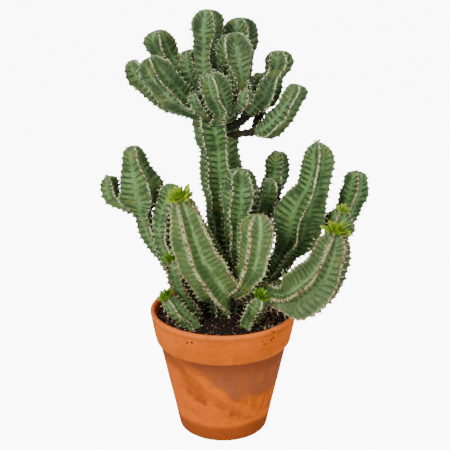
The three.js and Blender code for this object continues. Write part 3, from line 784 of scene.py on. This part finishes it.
# %% Copy a small shape many times into one mesh
def scatter(master, places, numbers):
    """A new object with a copy of the master at each place. Numbers give each copy a value."""
    mesh = master.data
    corners = np.column_stack((point_places(master), np.ones(len(mesh.vertices))))
    points = np.vstack([(corners @ np.array(place).T)[:, :3] for place in places])
    faces = [tuple(face.vertices) for face in mesh.polygons]
    copies = [
        tuple(corner + index * len(corners) for corner in face)
        for index in range(len(places)) for face in faces
    ]
    crowd = bpy.data.meshes.new(master.name)
    crowd.from_pydata(points.tolist(), [], copies)
    piece = bpy.data.objects.new(master.name, crowd)
    bpy.context.collection.objects.link(piece)
    for layer in mesh.attributes:
        if layer.data_type == "FLOAT" and layer.domain == "POINT":
            values = np.empty(len(mesh.vertices))
            layer.data.foreach_get("value", values)
            set_values(piece, layer.name, np.tile(values, len(places)))
    for name, values in numbers.items():
        set_values(piece, name, np.repeat(values, len(corners)))
    return piece

# %% Model one spine
SPINE_RADIUS = 0.00065
SPINE_SPREAD = math.radians(38)
SPINE_GAPS = 0.08  # the share of spines that have broken off
SPINE_SIZES = (0.6, 1.3)
SPINELESS_TIP = 0.45  # the last of the dome, by its width
SPINELESS_NECK = 0.011  # stems with less reach than this
SPINE_GROWTH = {"right_front_stem": 1.5, "front_centre_stem": 1.2, "left_outer_stem": 0.7}
WITHERED_SHARE = 0.015  # the share of teeth with a withered leaf or flower left on them
WITHERED_SIZES = (0.0025, 0.0055)


def model_spine():
    start_clean()
    bpy.ops.mesh.primitive_cone_add(
        vertices=4, radius1=SPINE_RADIUS, radius2=0, depth=1, location=(0, 0, 0.5),
    )
    spine = bpy.context.active_object
    spine.name = "spine"
    bpy.ops.object.transform_apply(location=True)
    set_values(spine, "along", [point.co.z for point in spine.data.vertices])
    return spine


SPINE = model_spine()
print("a spine has", len(SPINE.data.polygons), "faces")

# %% Find where the spines stand
def spine_places(stem, places, numbers, rings, dice):
    """Where a stem's spines stand and which way they point, and where a bit has withered."""
    chosen, withered = [], []
    for rib in range(stem.ribs):
        row = rib * RIB_POINTS + CREST_POINT
        phase = numbers[row][0]
        for tooth in range(math.ceil(phase[2]), int(phase[-3]) + 1):
            crest = np.array([np.interp(tooth, phase, places[row][:, i]) for i in range(3)])
            ring = int(np.interp(tooth, phase, np.arange(len(phase))))
            if rings.share[ring] < SPINELESS_TIP or rings.reach[ring] < SPINELESS_NECK:
                continue
            along = Vector(rings.along[ring])
            out = Vector(crest - rings.centre[ring]).normalized()
            across = along.cross(out)
            if dice.random() < WITHERED_SHARE:
                size = dice.uniform(*WITHERED_SIZES)
                shape = Matrix.Diagonal((size, size, size / 2, 1))
                withered.append(Matrix.Translation(crest) @ shape)
            for hand in (-1, 1):
                if dice.random() < SPINE_GAPS:
                    continue
                spread = SPINE_SPREAD * dice.uniform(0.5, 1.3)
                way = out * math.cos(spread) + across * hand * math.sin(spread)
                way = (way + along * dice.uniform(0.0, 0.6)).normalized()
                size = HABITS[stem.kind].spine * dice.uniform(*SPINE_SIZES)
                size *= SPINE_GROWTH.get(stem.name, 1)
                turn = way.to_track_quat("Z", "Y").to_matrix().to_4x4()
                chosen.append(Matrix.Translation(crest) @ turn @ Matrix.Diagonal((1, 1, size, 1)))
    return chosen, withered

# %% The spines' finish
def make_spine_finish():
    material, tree, shader, place = start_material("spine", roughness=0.55)
    tone = ramp(tree, attribute(tree, "along"), 0.6, 1.0)
    uneven = times(tree, blotches(tree, place, 120.0, 0.35, 0.65), tone)
    colour = mix(tree, uneven, (0.86, 0.84, 0.56), (0.34, 0.17, 0.08))
    feed(tree, shader, {"Base Color": colour})
    return material


SPINE_FINISH = make_spine_finish()

# %% Model all the stems
stem_rings = {}
spine_count = 0
withered_places = []
for number, stem in enumerate(STEMS):
    dice = random.Random(100 + number)
    places, numbers, rings = model_stem(stem, SKINS[stem.kind], dice)
    stem_rings[stem.name] = rings
    spots, withered = spine_places(stem, places, numbers, rings, dice)
    withered_places += withered
    spine_count += len(spots)
    spines = scatter(SPINE, spots, {})
    finish_piece(spines, stem.name + "_spines", SPINE_FINISH, HABITS[stem.kind].slot)
bpy.data.objects.remove(SPINE)
print(len(STEMS), "stems with", spine_count, "spines")

# %% [markdown]
# ## Leaf tufts
#
# Some tips carry a rosette of small fresh leaves. One leaf is modelled from a grid: its outline
# is narrow at the stalk and widest near the tip, it is cupped along its midrib, and Solidify
# gives it a thickness. The copies lean out in a spiral of golden angles, because leaves grow so,
# and no two then hide each other. They are fresh green with a pale midrib, and some of the tips
# are burnt red.

# %% Model one leaf
LEAF_WIDTH = 0.5  # of its length, which is 1 here
LEAF_THICKNESS = 0.035
LEAF_BEND = 0.16  # how far it bows outwards along its length ...
LEAF_CUP = 0.25  # ... and curls up towards its edges
LEAF_WAVE = 0.02


def leaf_half_width(along):
    return LEAF_WIDTH / 2 * math.sin(math.pi * along**1.5) ** 0.7 * (0.55 + 0.45 * along) + 0.03


def model_leaf():
    start_clean()
    bpy.ops.mesh.primitive_grid_add(x_subdivisions=4, y_subdivisions=7, size=1)
    leaf = bpy.context.active_object
    leaf.name = "leaf"
    for point in leaf.data.vertices:
        along, aside = point.co.y + 0.5, 2 * point.co.x
        wave = LEAF_WAVE * math.sin(9 * along + 2) * abs(aside)
        bend = -LEAF_BEND * math.sin(math.pi * along * 0.8)
        point.co.x = aside * leaf_half_width(along)
        point.co.y = bend + LEAF_CUP * abs(point.co.x) + wave
        point.co.z = along
    thick = leaf.modifiers.new("thick", "SOLIDIFY")
    thick.thickness = LEAF_THICKNESS
    thick.offset = 0
    round_off = leaf.modifiers.new("round off", "SUBSURF")
    round_off.levels = round_off.render_levels = 1
    for name in ("thick", "round off"):
        bpy.ops.object.modifier_apply(modifier=name)
    set_values(leaf, "along", [point.co.z for point in leaf.data.vertices])
    set_values(leaf, "aside", [abs(point.co.x) for point in leaf.data.vertices])
    return leaf


LEAF = model_leaf()
print("a leaf has", len(LEAF.data.polygons), "faces")

# %% The leaves' finish
def make_leaf_finish():
    material, tree, shader, place = start_material("fresh leaf", roughness=0.42)
    uneven = blotches(tree, place, 160.0, 0.3, 0.7)
    green = mix(tree, uneven, (0.085, 0.21, 0.002), (0.35, 0.56, 0.009))
    # painted shade: the suckers' leaves, low among the stems, get this darker green and no red tips
    leaf_shade = mix(tree, uneven, (0.035, 0.13, 0.001), (0.22, 0.42, 0.004))
    in_leaf_shade = attribute(tree, "leaf_shade")
    green = mix(tree, in_leaf_shade, green, leaf_shade)
    midrib = ramp(tree, attribute(tree, "aside"), 0.03, 0.0)
    green = mix(tree, times(tree, midrib, 0.5), green, (0.50, 0.62, 0.12))
    tip = times(tree, blotches(tree, place, 90.0, 0.2, 0.6), 0.12)
    tip = ramp(tree, calculate(tree, "ADD", attribute(tree, "along"), tip), 0.96, 1.06)
    tip = times(tree, tip, calculate(tree, "SUBTRACT", 1.0, in_leaf_shade))
    colour = mix(tree, tip, green, (0.42, 0.10, 0.03))
    paint(tree, shader, colour, uneven, strength=0.4, distance=0.0004)
    return material

# %% Find where the leaves stand
GOLDEN_ANGLE = math.pi * (3 - math.sqrt(5))
INNER_LEAN = 10  # in degrees
ROSETTE_WIDTH = 0.42  # from the middle to the foot of an outer leaf, by the leaf's length ...
ROSETTE_DROP = 0.16  # ... and how much lower that foot is
LEAF_SIZES = (0.65, 1.15)


def leaf_places(stem, size, count, widest, dice):
    """Leaves in a spiral round the stem's tip, upright inside and at the widest lean outside."""
    tip = Vector(stem.axis[-1][:3])
    along = Vector(stem_rings[stem.name].along[-1])
    frame_turn = Vector((0, 0, 1)).rotation_difference(along).to_matrix().to_4x4()
    chosen = []
    for i in range(count):
        share = math.sqrt((i + 0.5) / count)
        lean = math.radians(INNER_LEAN + (widest - INNER_LEAN) * share)
        round_stem = Matrix.Rotation(i * GOLDEN_ANGLE, 4, "Z")
        foot = (ROSETTE_WIDTH * size * share, 0, -ROSETTE_DROP * size * share**2)
        twist = Matrix.Rotation(-math.pi / 2 + dice.uniform(-0.4, 0.4), 4, "Z")
        lean_out = Matrix.Rotation(lean, 4, "Y")
        turn = round_stem @ Matrix.Translation(foot) @ lean_out @ twist
        place = Matrix.Translation(tip) @ frame_turn @ turn
        chosen.append(place @ Matrix.Scale(size * dice.uniform(*LEAF_SIZES), 4))
    return chosen

# %% The tufts: the leaves' length on each tip, and a third of their count
TUFTS = {
    "front_left_stem": (0.022, 11),
    "right_tall_stem": (0.008, 5),
    "right_front_stem": (0.022, 12),
    "far_right_offset": (0.011, 8),
    "front_sucker": (0.012, 6),
    "left_sucker": (0.012, 6),
    "left_mid_sucker": (0.012, 6),
}
SUCKER_LEAF_GROWTH = 1.2  # against the bud of the solids
OPEN_LEAN = 82  # of the outer leaves, in degrees, on the tips of the stems ...
SHUT_LEAN = 60  # ... and on the suckers, whose leaves are darker and stand closer

# %% Model the tufts
LEAF_FINISH = make_leaf_finish()
for stem in STEMS:
    if stem.name in TUFTS:
        size, count = TUFTS[stem.name]
        leaf_shade, widest = 0.0, OPEN_LEAN
        # the suckers' leaves get the painted shade, a darker green
        if "sucker" in stem.name:
            leaf_shade, widest = 1.0, SHUT_LEAN
            size *= SUCKER_LEAF_GROWTH
            count *= 2
        spots = leaf_places(stem, size, 3 * count, widest, random.Random(count))
        tuft = scatter(LEAF, spots, {"leaf_shade": [leaf_shade] * len(spots)})
        finish_piece(tuft, stem.name + "_tuft", LEAF_FINISH, "leaf", stem.name + "_leaves")
bpy.data.objects.remove(LEAF)
print(len(TUFTS), "leaf tufts")

# %% [markdown]
# ## The pot
#
# A clay pot is turned on a wheel. A Screw modifier could spin its outline. Here a disc for its base
# is pulled up ring by ring instead, as a potter pulls a wall: up the body, out over the shoulder,
# up the rim band, over the lip, and down inside to the floor. The rings lie close together, so
# that the wall can then be made a little uneven. Three drain holes are cut through the floor.

# %% Sizes of the pot, from its solid
pot_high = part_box("pot")[1]
RIM_RADIUS = pot_high.x
POT_HEIGHT = pot_high.z
BASE_RADIUS = 0.082
BODY_TOP_RADIUS = 0.1155
BAND_FOOT = 0.171
BAND_FOOT_RADIUS = 0.123
BAND_FLARE = 0.004  # how much the band's inside widens to the lip
WALL = 0.0092
FLOOR = 0.012
POT_SIDES = 128
RING_HEIGHT = 0.008
print("the pot is", round(2000 * RIM_RADIUS), "mm across and", round(1000 * POT_HEIGHT), "mm high")

# %% Pull the wall up ring by ring
def pull_to(radius, height, from_radius, from_height):
    """Extrudes the selected cap in short steps to a new radius and height."""
    steps = max(1, round(abs(height - from_height) / RING_HEIGHT))
    for step in range(1, steps + 1):
        before = from_radius + (radius - from_radius) * (step - 1) / steps
        after = from_radius + (radius - from_radius) * step / steps
        bpy.ops.mesh.extrude_region_move(
            TRANSFORM_OT_translate={"value": (0, 0, (height - from_height) / steps)}
        )
        scale = after / before
        bpy.ops.transform.resize(value=(scale, scale, 1), center_override=(0, 0, 0))


def turn_shape(profile, sides):
    """Starts as a disc and is pulled along a profile of radii and heights."""
    start_clean()
    radius, height = profile[0]
    bpy.ops.mesh.primitive_circle_add(
        vertices=sides, radius=radius, fill_type="NGON", location=(0, 0, height),
    )
    turned = bpy.context.active_object
    bpy.ops.object.transform_apply(location=True)
    bpy.ops.object.mode_set(mode="EDIT")
    bpy.ops.mesh.select_all(action="SELECT")
    for (radius, height), (to_radius, to_height) in zip(profile, profile[1:]):
        pull_to(to_radius, to_height, radius, height)
    return turned

# %% The pot's profile
def lip_arc():
    """The rounded lip, from outside to inside."""
    half = WALL / 2
    angles = [math.radians(step) for step in range(0, 181, 22)]
    return [
        (RIM_RADIUS - half + half * math.cos(a), POT_HEIGHT - half + half * math.sin(a))
        for a in angles
    ]


def model_pot():
    """A rounded base, the body, a sloping shoulder, the band, the lip and the inside."""
    profile = [
        (BASE_RADIUS - 0.0025, 0),
        (BASE_RADIUS - 0.0007, 0.0007),
        (BASE_RADIUS, 0.0025),
        (BODY_TOP_RADIUS, BAND_FOOT - 0.007),
        (BODY_TOP_RADIUS + 0.0020, BAND_FOOT - 0.005),
        (BAND_FOOT_RADIUS - 0.0010, BAND_FOOT + 0.001),
        (BAND_FOOT_RADIUS, BAND_FOOT + 0.004),
        *lip_arc(),
        (RIM_RADIUS - WALL - BAND_FLARE, BAND_FOOT),
        (BODY_TOP_RADIUS - WALL, BAND_FOOT - WALL),
        (BASE_RADIUS - WALL, FLOOR),
    ]
    pot = turn_shape(profile, POT_SIDES)
    face_outwards()
    return pot

# %% Drain holes, and a wall that isn't quite true
DRAIN_RADIUS = 0.008
DRAIN_PLACE = 0.045  # from the middle
FOOT_HEIGHT = 0.004  # it stays flat up to here
WALL_SWELL = 0.0004
TURNING_GROOVE = 0.00015  # the potter's fingers leave rings


def cut_drains(pot):
    for number in range(3):
        angle = math.radians(30 + 120 * number)
        start_clean()
        bpy.ops.mesh.primitive_cylinder_add(
            vertices=32, radius=DRAIN_RADIUS, depth=4 * FLOOR,
            location=(DRAIN_PLACE * math.cos(angle), DRAIN_PLACE * math.sin(angle), 0),
        )
        drill = bpy.context.active_object
        choose(pot)
        cut = pot.modifiers.new("drain", "BOOLEAN")
        cut.operation = "DIFFERENCE"
        cut.object = drill
        bpy.ops.object.modifier_apply(modifier=cut.name)
        bpy.data.objects.remove(drill)


def roughen_pot(pot):
    """The wall swells and sinks a little, as a wall pulled by hand does."""
    for point in pot.data.vertices:
        out = Vector((point.co.x, point.co.y, 0))
        if point.co.z > FOOT_HEIGHT and out.length > BASE_RADIUS - WALL:
            swell = WALL_SWELL * noise.noise(point.co * 22)
            groove = TURNING_GROOVE * math.sin(point.co.z * 700)
            point.co += out.normalized() * (swell + groove)

# %% [markdown]
# ## The clay
#
# Fired clay is orange, and years of watering mark it. Here the pot once stood tilted: the damp
# left a leaning tide line, dark along its lower edge, with a brown stain above it. Handling wore
# bright streaks into the stain, and the foot stays dark from the wet floor it stood on. Each mark
# is a mask, most often a height on the wall torn by noise, and the masks are mixed one over
# another, so each can be changed without the others.

# %% Tones of the clay
CLAY_TONE = (0.60, 0.118, 0.006)
CLAY_DEEP = (0.44, 0.098, 0.010)
CLAY_BRIGHT = (0.78, 0.150, 0.006)
CLAY_PALE = (0.78, 0.138, 0.009)
LIP_HIGHLIGHT_TONE = (0.86, 0.190, 0.028)
CLAY_STAIN = (0.33, 0.090, 0.036)
CLAY_FOOT = (0.32, 0.070, 0.012)
CLAY_DARK = (0.20, 0.048, 0.016)
PIT_TONE = (0.04, 0.02, 0.015)
TIDE_SLOPE = 0.85

# %% Masks for the clay
def between(tree, value, start, full, fade, end):
    """A mask that comes in from start to full and goes out from fade to end."""
    return times(tree, ramp(tree, value, start, full), ramp(tree, value, end, fade))


def stretched(tree, place, size):
    """Places squeezed along an axis, so that noise drawn on them comes out as streaks."""
    return node(tree, "VectorMath", {0: place, 1: size}, operation="MULTIPLY")[0]


def soft_oval(tree, place, centre, size):
    """A soft mask round a place on the wall."""
    offset = node(tree, "VectorMath", {0: place, 1: centre}, operation="SUBTRACT")[0]
    scaled = node(tree, "VectorMath", {0: offset, 1: size}, operation="DIVIDE")[0]
    length = node(tree, "VectorMath", {0: scaled}, operation="LENGTH")["Value"]
    return ramp(tree, length, 1.0, 0.6)

# %% Stains, wear and pits as a node group
def make_wear():
    group, entry, leave = start_group("clay wear", "", "Stain Tide Bright Pale Pits")
    place = entry["Vector"]
    axes = node(group, "SeparateXYZ", {0: place})
    torn = calculate(group, "SUBTRACT", cloud(group, place, 30.0, 5.0), 0.5)
    lean = calculate(group, "MULTIPLY_ADD", axes["X"], TIDE_SLOPE, axes["Z"])
    lean = calculate(group, "MULTIPLY_ADD", torn, 0.045, lean)
    high = calculate(group, "MULTIPLY_ADD", torn, 0.060, axes["Z"])
    worn = blotches(group, stretched(group, place, (1.0, 1.0, 0.2)), 95.0, 0.35, 0.60)
    stain = times(group, ramp(group, lean, 0.106, 0.122), ramp(group, high, 0.086, 0.102))
    stain = times(group, stain, ramp(group, worn, 0.0, 1.0, 1.0, 0.6))
    tide = calculate(group, "MULTIPLY_ADD", axes["X"], -0.35, lean)
    tide = between(group, tide, 0.062, 0.070, 0.073, 0.100)
    tide = times(group, tide, between(group, axes["X"], -0.085, -0.055, 0.005, 0.045))
    tide = times(group, tide, ramp(group, torn, -0.16, 0.10))
    low = times(group, between(group, high, 0.044, 0.056, 0.078, 0.094), worn)
    bright = calculate(group, "MAXIMUM", low, between(group, lean, 0.082, 0.094, 0.104, 0.116))
    specks = node(group, "TexVoronoi", {"Vector": place, "Scale": 130.0})["Distance"]
    left = soft_oval(group, place, (-0.060, -0.112, 0.213), (0.014, 0.03, 0.010))
    right = soft_oval(group, place, (0.084, -0.098, 0.210), (0.024, 0.04, 0.020))
    where = calculate(group, "MAXIMUM", left, right)
    where = calculate(group, "MAXIMUM", where, blotches(group, place, 17.0, 0.64, 0.70))
    feed(group, leave, {
        "Stain": stain,
        "Tide": tide,
        "Bright": bright,
        "Pale": ramp(group, lean, 0.068, 0.060),
        "Pits": times(group, ramp(group, specks, 0.36, 0.24), where),
    })
    return group

# %% The clay's finish
def make_clay():
    material, tree, shader, place = start_material("weathered clay", roughness=0.85, specular=0.08)
    high = node(tree, "SeparateXYZ", {0: place})["Z"]
    wear = node(tree, "Group", {"Vector": place}, node_tree=make_wear())
    turned = blotches(tree, stretched(tree, place, (0.1, 0.1, 1.0)), 160.0, 0.35, 0.65)
    uneven = blotches(tree, place, 22.0, 0.35, 0.65)
    clay = mix(tree, uneven, CLAY_TONE, CLAY_DEEP)
    for name, tone, strength in (
        ("Pale", CLAY_PALE, 0.7), ("Bright", CLAY_BRIGHT, 0.85),
        ("Stain", CLAY_STAIN, 1.0), ("Tide", CLAY_FOOT, 1.0),
    ):
        clay = mix(tree, times(tree, wear[name], strength), clay, tone)
    band = ramp(tree, high, BAND_FOOT - 0.004, BAND_FOOT + 0.002)
    clay = mix(tree, band, clay, mix(tree, uneven, CLAY_BRIGHT, CLAY_TONE))
    shadow = between(tree, high, BAND_FOOT - 0.042, BAND_FOOT - 0.008, BAND_FOOT - 0.004, BAND_FOOT)
    clay = mix(tree, times(tree, shadow, 0.7), clay, CLAY_DARK)
    clay = mix(tree, ramp(tree, high, 0.036, 0.024, 0.0, 0.9), clay, CLAY_FOOT)
    clay = mix(tree, between(tree, high, 0.031, 0.037, 0.042, 0.054), clay, CLAY_BRIGHT)
    # painted highlight: the top of the lip is painted paler
    clay = mix(tree, ramp(tree, high, POT_HEIGHT - 0.006, POT_HEIGHT - 0.002), clay, LIP_HIGHLIGHT_TONE)
    # a darker line is painted 6 to 13 mm below the top of the lip
    below_lip = calculate(tree, "SUBTRACT", POT_HEIGHT, high)
    line_below_lip = between(tree, below_lip, 0.006, 0.009, 0.010, 0.013)
    clay = mix(tree, times(tree, line_below_lip, 0.5), clay, CLAY_DEEP)
    dirt = times(tree, blotches(tree, place, 75.0, 0.45, 0.65), turned)
    clay = mix(tree, times(tree, dirt, 0.35), clay, CLAY_DARK)
    clay = mix(tree, wear["Pits"], clay, PIT_TONE)
    height = calculate(tree, "MULTIPLY_ADD", turned, 0.6, cloud(tree, place, 900.0, 3.0))
    height = calculate(tree, "MULTIPLY_ADD", wear["Pits"], -2.0, height)
    paint(tree, shader, clay, height, strength=0.4, distance=0.0005)
    return material

# %% Make the pot
pot = model_pot()
cut_drains(pot)
roughen_pot(pot)
finish_piece(pot, "clay_pot", make_clay(), "clay", "pot")
choose(pot)
bpy.ops.object.shade_smooth_by_angle(angle=math.radians(35))
print("the pot has", len(pot.data.polygons), "faces")

# %% [markdown]
# ## The soil
#
# The mix is dark peat with reddish bark and white grit. The ground is pulled from a disc as the
# pot is, and its top is inset ring by ring and raised into lumps. Bits in a bump map would look
# flat at the edge of the pot. So bark and grit are two small crumpled stones, copied into one
# mesh each and strewn over the ground.

# %% Sizes of the soil
SOIL_LEVEL = 0.212
SOIL_LUMP = 0.0025
SOIL_EDGE = 0.207
SOIL_SLOPE = 0.006  # how far in from the wall the lumps begin
SOIL_GRAIN = 0.0016
SOIL_GAP = 0.0005  # from the pot's wall
SOIL_SIDES = 72
SOIL_TOP_RADIUS = 0.1195
SOIL_RINGS = 17
STREWN_RADIUS = 0.117
BARK_BITS = 1900
GRIT_BITS = 230
print("the soil lies", round(1000 * (POT_HEIGHT - SOIL_LEVEL)), "mm under the rim")


def soil_height(x, y):
    coarse = math.sin(x / 0.013 + 1) * math.cos(y / 0.011)
    fine = math.sin(x / 0.0053 - y / 0.0071) / 2
    return SOIL_LEVEL + SOIL_LUMP * (coarse + fine)

# %% Model the ground
def model_soil():
    profile = [
        (BASE_RADIUS - WALL - SOIL_GAP, FLOOR + SOIL_GAP),
        (BODY_TOP_RADIUS - WALL - SOIL_GAP, BAND_FOOT - WALL),
        (RIM_RADIUS - WALL - BAND_FLARE - SOIL_GAP, BAND_FOOT),
        (SOIL_TOP_RADIUS + 0.0015, SOIL_EDGE),
    ]
    soil = turn_shape(profile, SOIL_SIDES)
    for ring in range(SOIL_RINGS):
        bpy.ops.mesh.inset(thickness=SOIL_TOP_RADIUS / (SOIL_RINGS + 1))
    bpy.ops.mesh.poke()
    face_outwards()
    finer = soil.modifiers.new("finer", "SUBSURF")
    finer.subdivision_type = "SIMPLE"
    finer.levels = finer.render_levels = 1
    bpy.ops.object.modifier_apply(modifier=finer.name)
    for point in soil.data.vertices:
        inward = SOIL_TOP_RADIUS - Vector((point.co.x, point.co.y)).length
        if point.co.z > SOIL_EDGE - 1e-4 and inward > 0:
            rough = SOIL_GRAIN * noise.noise(point.co * 140)
            top = soil_height(point.co.x, point.co.y) + rough
            point.co.z += (top - point.co.z) * min(1, inward / SOIL_SLOPE)
    return soil

# %% Model a small stone, and strew stones over the soil
def model_stone(name, crumple, seed):
    """A ball whose corners are pushed in and out."""
    start_clean()
    bpy.ops.mesh.primitive_ico_sphere_add(subdivisions=1, radius=0.5)
    stone = bpy.context.active_object
    stone.name = name
    dice = random.Random(seed)
    for point in stone.data.vertices:
        point.co *= 1 + crumple * dice.uniform(-1, 1)
    return stone


def strewn(count, sizes, flatness, dice):
    """Places and tones for small bits over the soil, the lightest at the right and the back."""
    places, tones = [], []
    for _ in range(count):
        radius = STREWN_RADIUS * math.sqrt(dice.random())
        angle = dice.uniform(0, 2 * math.pi)
        x, y = radius * math.cos(angle), radius * math.sin(angle)
        size = dice.uniform(*sizes)
        turn = Euler([dice.uniform(-0.6, 0.6), dice.uniform(-0.6, 0.6), dice.uniform(0, 6)])
        shape = Matrix.Diagonal((size, size * dice.uniform(0.4, 0.8), size * flatness, 1))
        height = min(soil_height(x, y), SOIL_EDGE + SOIL_SLOPE + STREWN_RADIUS - radius)
        spot = Matrix.Translation((x, y, height + 0.0004))
        places.append(spot @ turn.to_matrix().to_4x4() @ shape)
        # painted shadow: the bits in the middle and at the front, under the stems, are painted
        # darker; lighter bits lie at the right and the back
        light = 0.7 if x + 0.5 * y > 0.035 else 0.15 if x < -0.05 else -0.2
        tones.append(dice.random() ** 1.6 + light)
    return places, tones

# %% Finishes of the soil
def make_ground_finish():
    material, tree, shader, place = start_material("peat", roughness=0.95, specular=0.2)
    tone = blotches(tree, place, 260.0, 0.35, 0.7)
    colour = mix(tree, tone, (0.006, 0.004, 0.003), (0.055, 0.030, 0.018))
    paint(tree, shader, colour, tone, strength=0.9, distance=0.002)
    return material


def make_bits_finish(name, dark, middle, light):
    material, tree, shader, place = start_material(name, roughness=0.9, specular=0.25)
    tone = attribute(tree, "tone")
    colour = mix(tree, ramp(tree, tone, 0.0, 0.5), dark, middle)
    colour = mix(tree, ramp(tree, tone, 0.55, 1.0), colour, light)
    grain = blotches(tree, place, 900.0, 0.3, 0.7)
    colour = mix(tree, times(tree, grain, 0.5), colour, shade(middle, 0.4))
    paint(tree, shader, colour, grain, strength=0.6, distance=0.0005)
    return material

# %% Make the soil, the bark and the grit
finish_piece(model_soil(), "ground", make_ground_finish(), "soil", "soil")
BITS = (
    ("bark_bits", BARK_BITS, (0.002, 0.0065), 0.3, 0.5,
     ((0.012, 0.007, 0.005), (0.12, 0.050, 0.024), (0.62, 0.40, 0.24))),
    ("grit_bits", GRIT_BITS, (0.0014, 0.0034), 0.7, 0.2,
     ((0.30, 0.24, 0.18), (0.55, 0.48, 0.40), (0.80, 0.76, 0.70))),
)
for seed, (name, count, sizes, flatness, crumple, tones) in enumerate(BITS):
    stone = model_stone(name, crumple, seed)
    spots, values = strewn(count, sizes, flatness, random.Random(seed + 7))
    bits = scatter(stone, spots, {"tone": values})
    bpy.data.objects.remove(stone)
    finish_piece(bits, name, make_bits_finish(name, *tones), "soil")
    print(name, len(bits.data.polygons), "faces")

# %% The withered bits on the stems, from the same crumpled stone
stone = model_stone("withered", 0.6, 5)
dice = random.Random(3)
bits = scatter(stone, withered_places, {"tone": [dice.random() for _ in withered_places]})
bpy.data.objects.remove(stone)
tones = (0.05, 0.018, 0.010), (0.26, 0.070, 0.030), (0.62, 0.30, 0.10)
finish_piece(bits, "withered_bits", make_bits_finish("withered", *tones), "old_stem")
print(len(withered_places), "withered bits")

# %% [markdown]
# ## Floor, light and camera
#
# The plant stands on a plain pale floor under soft light from all round, with a stronger lamp
# at the front left. A bright floor would light the plant from below. So the white glow is given
# only to what the camera sees, and the lamps and the sky do the lighting. The camera is where the
# photograph was taken from: about 1.4 m in front, 82 cm up, and looking 17 degrees down.

# %% Floor
WHITE_GLOW = 9.0  # added to what the camera sees of the floor and the background


def make_floor():
    start_clean()
    bpy.ops.mesh.primitive_plane_add(size=12)
    floor = bpy.context.active_object
    floor.name = "floor"
    material, tree, shader, place = start_material("pale floor", roughness=0.9, specular=0.1)
    glow = mix(tree, node(tree, "LightPath")["Is Camera Ray"], (0, 0, 0), (1, 1, 1))
    feed(tree, shader, {"Emission Color": glow, "Emission Strength": WHITE_GLOW})
    shader.inputs["Base Color"].default_value = (0.9, 0.9, 0.9, 1)
    floor.data.materials.append(material)
    floor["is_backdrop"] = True
    print("the floor glows white for the camera alone")


make_floor()

# %% Light
def add_lamp(name, place, size, power):
    print("lamp", name, "of", power, "W")
    lamp = bpy.data.lights.new(name, "AREA")
    lamp.shape = "DISK"
    lamp.size = size
    lamp.energy = power
    holder = bpy.data.objects.new(name, lamp)
    bpy.context.collection.objects.link(holder)
    holder.location = place
    aim = Vector((0, 0, 0.35)) - Vector(place)
    holder.rotation_euler = aim.to_track_quat("-Z", "Y").to_euler()


add_lamp("key", (-1.3, -1.8, 1.7), 1.0, 60)
add_lamp("fill", (1.8, -1.2, 1.2), 1.4, 17)
add_lamp("top", (0.0, 0.2, 2.3), 1.2, 18)

SKY_STRENGTH = 0.40
world = bpy.data.worlds.new("soft light")
bpy.context.scene.world = world
world.use_nodes = True
tree = world.node_tree
seen = node(tree, "LightPath")["Is Camera Ray"]
glow = calculate(tree, "MULTIPLY_ADD", seen, WHITE_GLOW, SKY_STRENGTH)
feed(tree, tree.nodes["Background"], {"Strength": glow, "Color": (1, 1, 1, 1)})

# %% Camera
CAMERA_PLACE = (0.003, -1.4, 0.818)
CAMERA_PITCH = 0.302  # downwards, in radians
CAMERA_LENS = 66.8  # mm, on a sensor 36 mm wide

camera = bpy.data.cameras.new("camera")
camera.lens = CAMERA_LENS
viewer = bpy.data.objects.new("camera", camera)
bpy.context.collection.objects.link(viewer)
viewer.location = CAMERA_PLACE
viewer.rotation_euler = (math.pi / 2 - CAMERA_PITCH, 0, 0)
bpy.context.scene.camera = viewer
print("the camera looks down by", round(math.degrees(CAMERA_PITCH)), "degrees")

# %% [markdown]
# ## The two boxes
#
# The finished model must keep the solids' box, so both boxes are gathered, and each is printed.

# %% Gather the two boxes, and print the model's
low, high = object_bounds()
sizes = {"cad": [list(cad_low), list(cad_high)], "visual": [list(low), list(high)]}
print("the model reaches from", tuple(low), "to", tuple(high))
